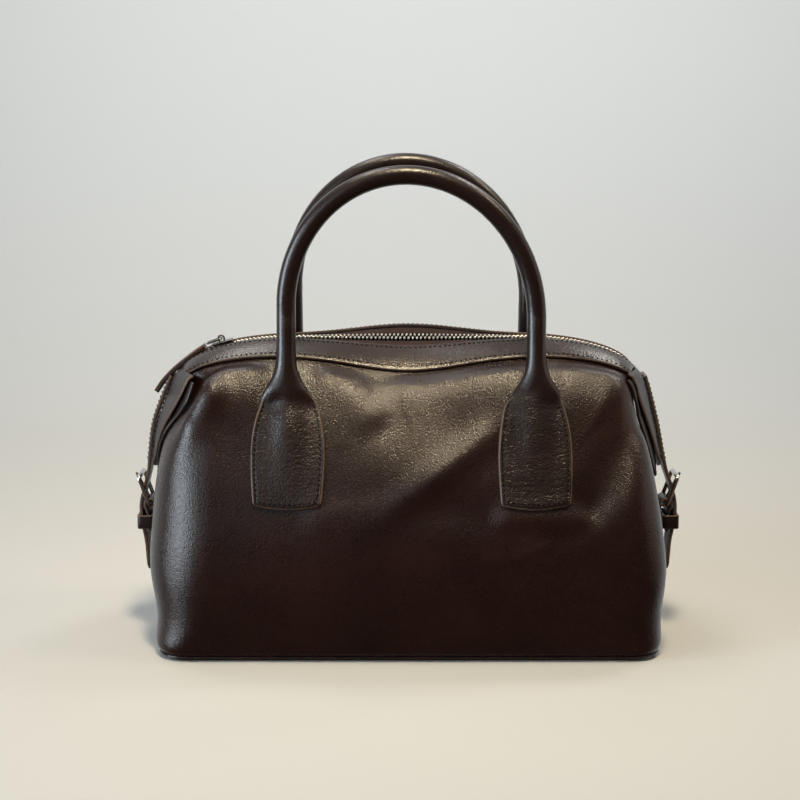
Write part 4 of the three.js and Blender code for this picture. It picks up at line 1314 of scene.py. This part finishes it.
def end_strip(names, rows, side, thick, half, edge=edge_paint, front_rows=None, gap=LAID_GAP):
    """A strip at one end. names are the piece and the solid that it stands for."""
    line = spaced_path(rows, side)
    rings = strip_rings(line, thick, rounded_tip(line, half), STRIP_ROUND, STRIP_STEPS)
    section, edges = flat_section(half, thick, STRIP_ROUND, STRIP_STEPS)
    if front_rows:
        rings = laid_over(drawn_forward(rings, side, half, front_rows), side, section, gap)
    piece = loft_piece(names[0], rings, False, edges)
    finish_piece(piece, [strap_leather, edge], [names[1]], "bag", 50)


for end, side in SIDES:
    strap_names = (f"end_strap_{end}", f"side_strap_{end}")
    end_strip(strap_names, SIDE_STRAP, side, STRAP, STRAP_HALF)
    tongue_names = (f"band_tongue_{end}", f"end_tongue_{end}")
    end_strip(tongue_names, TONGUE, side, BAND, TONGUE_HALF, edge_paint, TONGUE_FRONT, TONGUE_GAP)
    flap_names = (f"inner_flap_{end}", f"end_flap_{end}")
    end_strip(flap_names, FLAP, side, STRAP, FLAP_HALF, strap_leather, FLAP_FRONT)
print("ends dressed:", len(SIDES))

# %% Stitches along the straps and tongues
STRIP_STITCH = {"in": 2.2, "over": 0.08, "skip_first": 4, "skip_last": 6}
# the strap is stitched down to its buckle
STITCHED_STRAP = SIDE_STRAP[:5]

strip_stitches = []
for end, side in SIDES:
    for rows, half, thick in ((STITCHED_STRAP, STRAP_HALF, STRAP), (TONGUE, TONGUE_HALF, BAND)):
        line = spaced_path(rows, side)[STRIP_STITCH["skip_first"]:-STRIP_STITCH["skip_last"]]
        outward = line_normal(line)
        outward = outward * np.sign(outward[:, :1] * side)
        for edge in (-1, 1):
            aside = np.array([0, edge * (half - STRIP_STITCH["in"]), 0])
            shifted = line + outward * (thick / 2 + STRIP_STITCH["over"]) + aside
            strip_stitches += stitch_places(shifted, outward)
stitched("strip_stitches", strip_stitches)
print("strip stitches:", len(strip_stitches))

# %% [markdown]
# ## Buckles
# Each buckle is a rounded metal frame that leans out from the bag. The chape, a doubled strip, holds its
# lower bar, and the prong lies across the strap to the upper bar. The keeper is a loop of leather round the
# strap's end.

# %% Frames and prongs
LOWER_BAR = np.array([157.8, 0, 79.5])
UPPER_BAR = np.array([163.9, 0, 97.2])
FRAME = {"half": 12, "bar": 2.8, "thick": 2.4, "corner": 3.5, "sides": 12, "squareness": 0.7}
PRONG = {"half": 1.3, "thick": 1.6, "eye": 2.0, "wall": 1.2, "over": 1.6, "round": 0.5}
# turns in radians past and before the tip's direction where the prong's eye is open, and the share of the way
# to the tip at which its bar starts
PRONG_OPEN = (0.1, 0.35)
PRONG_BAR_FROM = 0.18
PRONG_STEPS = {"eye": 16, "bar": 12, "curve": 2}
FRAME_CORNER_STEPS = 6
PRONG_TAPER = np.linspace(1, 0.55, 8)
frame_up = unit(UPPER_BAR - LOWER_BAR)
frame_out = np.array([frame_up[2], 0, -frame_up[0]])


def upright_frame(half, tall, radius, steps):
    """Points round an upright rectangle with rounded corners, from the middle of its lower side."""
    points = []
    for right, up, start in ((1, 0, -90), (1, 1, 0), (-1, 1, 90), (-1, 0, 180)):
        middle = (right * (half - radius), tall - radius if up else radius)
        points.extend(quarter_turn(middle, radius, start, steps))
    return np.array(points)


def squared(wave):
    """A wave drawn out towards the sides of a square."""
    return np.sign(wave) * np.abs(wave) ** FRAME["squareness"]


def buckle_piece(end, side):
    tall = np.linalg.norm(UPPER_BAR - LOWER_BAR)
    half = FRAME["half"] - FRAME["bar"] / 2
    flat = upright_frame(half, tall, FRAME["corner"] - FRAME["bar"] / 2, FRAME_CORNER_STEPS)
    line = LOWER_BAR + flat[:, :1] * np.array([0, 1.0, 0]) + flat[:, 1:] * frame_up
    ahead = ahead_round(line)
    inwards = np.cross(np.broadcast_to(frame_out, ahead.shape), ahead)
    turns = full_turn(FRAME["sides"])
    wide = FRAME["bar"] / 2 * squared(np.cos(turns))
    thick = FRAME["thick"] / 2 * squared(np.sin(turns))
    rings = line[:, None] + wide * inwards[:, None] + thick * frame_out
    piece = loft_piece(f"buckle_frame_{end}", rings * np.array([side, side, 1.0]), True)
    finish_piece(piece, [buckle_metal], [f"buckle_{end}"], "bag", 60)


def prong_piece(end, side):
    rest = FRAME["thick"] / 2 + 2 * GAP + PRONG["thick"] / 2
    tip = UPPER_BAR + frame_up * PRONG["over"] + frame_out * rest
    along = unit(tip - LOWER_BAR)
    radius = PRONG["eye"] + PRONG["wall"] / 2
    start = math.atan2(along[2], along[0])
    turns = np.linspace(start + 2 * math.pi - PRONG_OPEN[1], start + PRONG_OPEN[0], PRONG_STEPS["eye"])
    eye = LOWER_BAR + radius * np.column_stack([np.cos(turns), 0 * turns, np.sin(turns)])
    bar = np.linspace(PRONG_BAR_FROM, 1, PRONG_STEPS["bar"])[:, None] * (tip - LOWER_BAR) + LOWER_BAR
    line = np.concatenate([eye, bar]) * np.array([side, 1, 1])
    line = smooth_rings(line[:, None], PRONG_STEPS["curve"])[:, 0]
    half = np.full(len(line), PRONG["half"])
    half[-len(PRONG_TAPER):] *= PRONG_TAPER
    piece = loft_piece(f"buckle_prong_{end}", strip_rings(line, PRONG["thick"], half, PRONG["round"]))
    finish_piece(piece, [buckle_metal], [f"prong_{end}"], "bag", 60)


for end, side in SIDES:
    buckle_piece(end, side)
    prong_piece(end, side)
print("buckles made:", len(SIDES))

# %% Chapes
CHAPE = {"thick": 1.6, "half": 8.3, "gap": 1.1, "loop": 3.2, "back": 0.8, "round": 0.5}
CHAPE_HEIGHTS = (38, 47, 56, 64)
# how far in from the loop and down from the bar the strip leaves the body, then the turns of the loop, and how
# far down the back of the strip reaches
CHAPE_LEAVES = (1.8, 7)
CHAPE_TURNS = (180, 140, 100, 60, 20, -20)
CHAPE_BACK = (9, 17)


def seam_at(height):
    return np.interp(height, SECTIONS[:, 0], SECTIONS[:, SECTION_COLUMNS.index("seam")])


def chape_piece(end, side):
    bar_x, _, bar_z = LOWER_BAR
    rows = []
    for height in CHAPE_HEIGHTS:
        rows.append((seam_at(height) + CHAPE["gap"] + CHAPE["thick"] / 2, height, 0))
    rows.append((bar_x - CHAPE["loop"] - CHAPE_LEAVES[0], bar_z - CHAPE_LEAVES[1], 0))
    for turn in np.radians(CHAPE_TURNS):
        rows.append((bar_x + CHAPE["loop"] * math.cos(turn), bar_z + CHAPE["loop"] * math.sin(turn), 0))
    for down in CHAPE_BACK:
        rows.append((bar_x + CHAPE["back"], bar_z - down, 0))
    line = spaced_path(rows, side)
    rings = strip_rings(line, CHAPE["thick"], np.full(len(line), CHAPE["half"]), CHAPE["round"])
    piece = loft_piece(f"buckle_chape_{end}", rings, False, EDGE_COLUMNS)
    finish_piece(piece, [strap_leather, edge_paint], [f"chape_{end}"], "bag", 50)


print("chapes start", round(seam_at(CHAPE_HEIGHTS[0]), 1), "mm from the middle")

# %% Keepers
KEEPER = {"low": 64.5, "high": 73, "wall": 1.5, "slack": 0.5, "corner": 1.6, "round": 0.5}
# the row of the strap that the keeper goes round
KEPT_ROW = 7


def keeper_piece(end, side):
    room = KEEPER["slack"] + KEEPER["wall"] / 2
    inner = LOWER_BAR[0] + CHAPE["back"] - CHAPE["thick"] / 2 - room
    outer = SIDE_STRAP[KEPT_ROW][0] + STRAP / 2 + room
    half = STRAP_HALF + room
    radius = KEEPER["corner"]
    corners = ((outer - radius, half - radius), (inner + radius, half - radius))
    corners += ((inner + radius, radius - half), (outer - radius, radius - half))
    turns = [quarter_turn(middle, radius, 90 * k, FRAME_CORNER_STEPS) for k, middle in enumerate(corners)]
    flat = np.concatenate(turns)
    line = np.column_stack([flat, 0 * flat[:, 0]])
    ahead = ahead_round(line)
    outwards = np.column_stack([ahead[:, 1], -ahead[:, 0], 0 * ahead[:, 0]])
    middle = (KEEPER["low"] + KEEPER["high"]) / 2
    section = flat_section((KEEPER["high"] - KEEPER["low"]) / 2, KEEPER["wall"], KEEPER["round"])[0]
    upright = section[None, :, :1] * np.array([0, 0, 1])
    rings = line[:, None] + section[None, :, 1:] * outwards[:, None] + upright
    rings = (rings + np.array([0, 0, middle])) * np.array([side, 1, 1])
    piece = loft_piece(f"strap_keeper_{end}", rings, True, EDGE_COLUMNS)
    finish_piece(piece, [strap_leather, edge_paint], [f"keeper_{end}"], "bag", 50)


for end, side in SIDES:
    chape_piece(end, side)
    keeper_piece(end, side)
print("chapes and keepers made:", 2 * len(SIDES))

# %% [markdown]
# ## Zip
# The teeth of a metal zip are small blocks that grip each other in turn. One tooth is modelled from a cube
# with its edges bevelled, and copied along the ridge on both sides, half a pitch apart.

# %% One tooth
CHAIN_END = 132.5
SLIDER_X = -112
SLIDER = {"long": 13, "half": 4.6, "plate": 1.2, "top": 1.7, "bottom": -2.2, "bevel": 0.45}
TOOTH = {"pitch": 2.5, "wide": 1.25, "long": 2.1, "tall": 1.7, "apart": 1.5, "rise": 0.35, "bevel": 0.3}


def bevelled_block(name, size, middle, bevel, segments):
    """A cube scaled to size, with bevelled edges."""
    bpy.ops.object.select_all(action="DESELECT")
    bpy.ops.mesh.primitive_cube_add(size=1, location=middle)
    block = bpy.context.object
    block.name = name
    block.scale = size
    bpy.ops.object.transform_apply(location=True, rotation=False, scale=True)
    edit_all(block, lambda: bpy.ops.mesh.bevel(offset=bevel, segments=segments))
    return block


tooth_size = (TOOTH["wide"], TOOTH["long"], TOOTH["tall"])
tooth_shape = taken_apart(bevelled_block("tooth", tooth_size, (0, 0, 0), TOOTH["bevel"], 1))
print("tooth faces:", len(tooth_shape[1]))

# %% Rows of teeth
OPEN_START = 5 - CHAIN_END
OPEN_APART = 0.9
TOOTH_REACH = 0.5
RIDGE_POINTS = 800
# side of the ridge, and where the row on it starts, in pitches
TOOTH_ROWS = ((-1, 0.25), (1, 0.75))


def ridge(x):
    x = np.asarray(x, dtype=float)
    return np.stack([x, 0 * x, height_at(np.full_like(x, TOP_LEVEL), x, True)], axis=-1)


def zip_lean(x):
    """How steeply the cloth rises from the front of the zip to its back."""
    level = np.full_like(x, BAND_HEAD)
    rise = height_at(level, x, False) - height_at(level, x, True)
    return np.arctan2(rise, 2 * section_value("depth", level))


def tooth_places(start, end, apart):
    """Places of teeth on both sides of the ridge. apart is how far the two rows have parted."""
    line = ridge(np.linspace(start, end, RIDGE_POINTS))
    walked = walked_along(line)
    places = []
    for side, shift in TOOTH_ROWS:
        for at in np.arange(shift * TOOTH["pitch"], walked[-1], TOOTH["pitch"]):
            spot = point_on(line, walked, at)
            tangent = tangent_on(line, walked, at, TOOTH_REACH)
            up = np.array([-tangent[2], 0, tangent[0]])
            lean = zip_lean(spot[:1])[0]
            across = np.array([0, math.cos(lean), 0]) + up * math.sin(lean)
            up = np.cross(tangent, across)
            spot = spot + up * TOOTH["rise"] + across * side * (TOOTH["apart"] + apart)
            places.append((spot, tangent, across, up))
    return places


slider_reach = SLIDER["long"] / 2 + GAP
closed_places = tooth_places(SLIDER_X + slider_reach, CHAIN_END, 0)
open_places = tooth_places(OPEN_START, SLIDER_X - slider_reach, OPEN_APART)
closed_teeth = copies_piece("zip_teeth", tooth_shape, closed_places)
finish_piece(closed_teeth, [zip_metal], ["zip_chain"], "bag", 30)
# the open teeth take the slider's darker metal: painted shade, for the shadow under the leather pull
shaded_open_teeth = copies_piece("zip_teeth_open_shaded", tooth_shape, open_places)
finish_piece(shaded_open_teeth, [slider_and_shaded_teeth_metal], ["zip_chain_open"], "bag", 30)
print("teeth:", len(closed_places) + len(open_places))

# %% [markdown]
# The slider is three bevelled blocks, two plates and a core, with a small bridge on top. The puller, a flat
# metal link, hangs on the bridge and carries the leather pull. Link and pull swing together about the bridge,
# so they ride on a body of their own.

# %% Slider
SLOPE_STEP = 0.01
slider_slope = unit(ridge(SLIDER_X + SLOPE_STEP) - ridge(SLIDER_X - SLOPE_STEP))
slider_up = np.array([-slider_slope[2], 0, slider_slope[0]])
slider_middle = ridge(SLIDER_X)


def on_slider(points):
    """From the slider's own length, width and height to the bag."""
    across = np.array([0, 1.0, 0])
    return slider_middle + points[:, :1] * slider_slope + points[:, 1:2] * across + points[:, 2:] * slider_up


SLIDER_SEGMENTS = 3
CORE = {"shorter": 1, "wide": 5.4, "bevel": 0.3}
plate_size = (SLIDER["long"], 2 * SLIDER["half"], SLIDER["plate"])
core_size = (SLIDER["long"] - CORE["shorter"], CORE["wide"], SLIDER["top"] - SLIDER["bottom"])
slider_blocks = []
for name, size, height, bevel in (
    ("slider_core", core_size, (SLIDER["top"] + SLIDER["bottom"]) / 2, CORE["bevel"]),
    ("slider_under", plate_size, SLIDER["bottom"] - SLIDER["plate"] / 2, SLIDER["bevel"]),
    ("zip_slider_body", plate_size, SLIDER["top"] + SLIDER["plate"] / 2, SLIDER["bevel"]),
):
    slider_blocks.append(bevelled_block(name, size, (0, 0, height), bevel, SLIDER_SEGMENTS))
slider_body = slider_blocks[-1]
select_only(slider_body)
for block in slider_blocks:
    block.select_set(True)
bpy.ops.object.join()
move_points(slider_body.data, on_slider(mesh_points(slider_body.data)))
finish_piece(slider_body, [slider_and_shaded_teeth_metal], ["zip_slider"], "bag", 40)
print("slider faces:", len(slider_body.data.polygons))

# %% Bridge of the slider
BRIDGE = {"rise": 1.7, "hole": 1.35, "wall": 1.0, "half": 1.3, "round": 0.3}
BRIDGE_ARC = (-50, 230)
BRIDGE_STEPS = 20
bridge_turns = np.radians(np.linspace(*BRIDGE_ARC, BRIDGE_STEPS))
bridge_radius = BRIDGE["hole"] + BRIDGE["wall"] / 2
bridge_axis = SLIDER["top"] + SLIDER["plate"] + BRIDGE["rise"]
bridge_height = bridge_axis + bridge_radius * np.sin(bridge_turns)
bridge_flat = np.column_stack([bridge_radius * np.cos(bridge_turns), 0 * bridge_turns, bridge_height])
bridge_line = on_slider(bridge_flat)
bridge_half = np.full(len(bridge_line), BRIDGE["half"])
bridge_rings = strip_rings(bridge_line, BRIDGE["wall"], bridge_half, BRIDGE["round"])
bridge = loft_piece("zip_slider_bridge", bridge_rings)
finish_piece(bridge, [slider_and_shaded_teeth_metal], [], "bag", 50)
print("bridge faces:", len(bridge.data.polygons))

# %% Puller
PULLER = {"bar": 1.4, "long": 9.5, "half": 3.4, "tilt": 3.5, "corner": 0.8, "sides": 10}
LINK_CORNER_STEPS = 5
link_radius = PULLER["bar"] / 2
tilt = math.radians(PULLER["tilt"])
link_along = np.array([-math.cos(tilt), 0, -math.sin(tilt)])
link_half = PULLER["half"] - link_radius
link_tall = PULLER["long"] - link_radius
link_line = upright_frame(link_half, link_tall, PULLER["corner"], LINK_CORNER_STEPS)
link_points = link_line[:, :1] * np.array([0, 1.0, 0]) + link_line[:, 1:] * link_along
link_points = on_slider(link_points + np.array([0, 0, bridge_axis]))
puller = loft_piece("zip_pull_link", closed_tube_rings(link_points, link_radius, PULLER["sides"]), True)
finish_piece(puller, [slider_and_shaded_teeth_metal], ["zip_puller"], "zip_pull", 60)
print("puller faces:", len(puller.data.polygons))

# %% [markdown]
# The leather pull is two strips laid on each other: the outer one with raw, lighter edges, and a dark one
# under it. The dark layer is a real second layer, but its dark edges are painted shade, standing in for the
# shadow between the pull and the band. Both follow one path from the link over the end of the bag.

# %% Leather pull
PULL = {"outer": 1.3, "inner": 1.7, "half": 7.0, "neck": 4.2, "widens": 4, "inset": 0.2, "round": 0.35}
PULL_PATH = [(122.9, 176.2, 0), (130.2, 171.3, 0), (140.4, 163.3, 0), (147.8, 156.0, 0), (152.4, 149.4, 0)]

pull_line = spaced_path(PULL_PATH, -1)
widening = np.minimum(np.linspace(0, 1, len(pull_line)) * PULL["widens"], 1)
pull_half = PULL["neck"] + (PULL["half"] - PULL["neck"]) * widening
pull_out = -line_normal(pull_line)
outer_line = pull_line + pull_out * PULL["inner"] / 2
shade_layer_line = pull_line - pull_out * PULL["outer"] / 2
outer_rings = strip_rings(outer_line, PULL["outer"], pull_half, PULL["round"])
pull_tab = loft_piece("zip_pull_leather", outer_rings, False, EDGE_COLUMNS)
finish_piece(pull_tab, [strap_leather, raw_edge], ["zip_pull_tab"], "zip_pull", 40)
# the dark lower layer: its plain dark edges are painted shade, for the shadow under the pull
shade_layer_rings = strip_rings(shade_layer_line, PULL["inner"], pull_half - PULL["inset"], PULL["round"])
pull_shade_layer = loft_piece("zip_pull_shade_layer", shade_layer_rings)
finish_piece(pull_shade_layer, [strap_leather], [], "zip_pull", 40)
print("pull faces:", len(pull_tab.data.polygons) + len(pull_shade_layer.data.polygons))
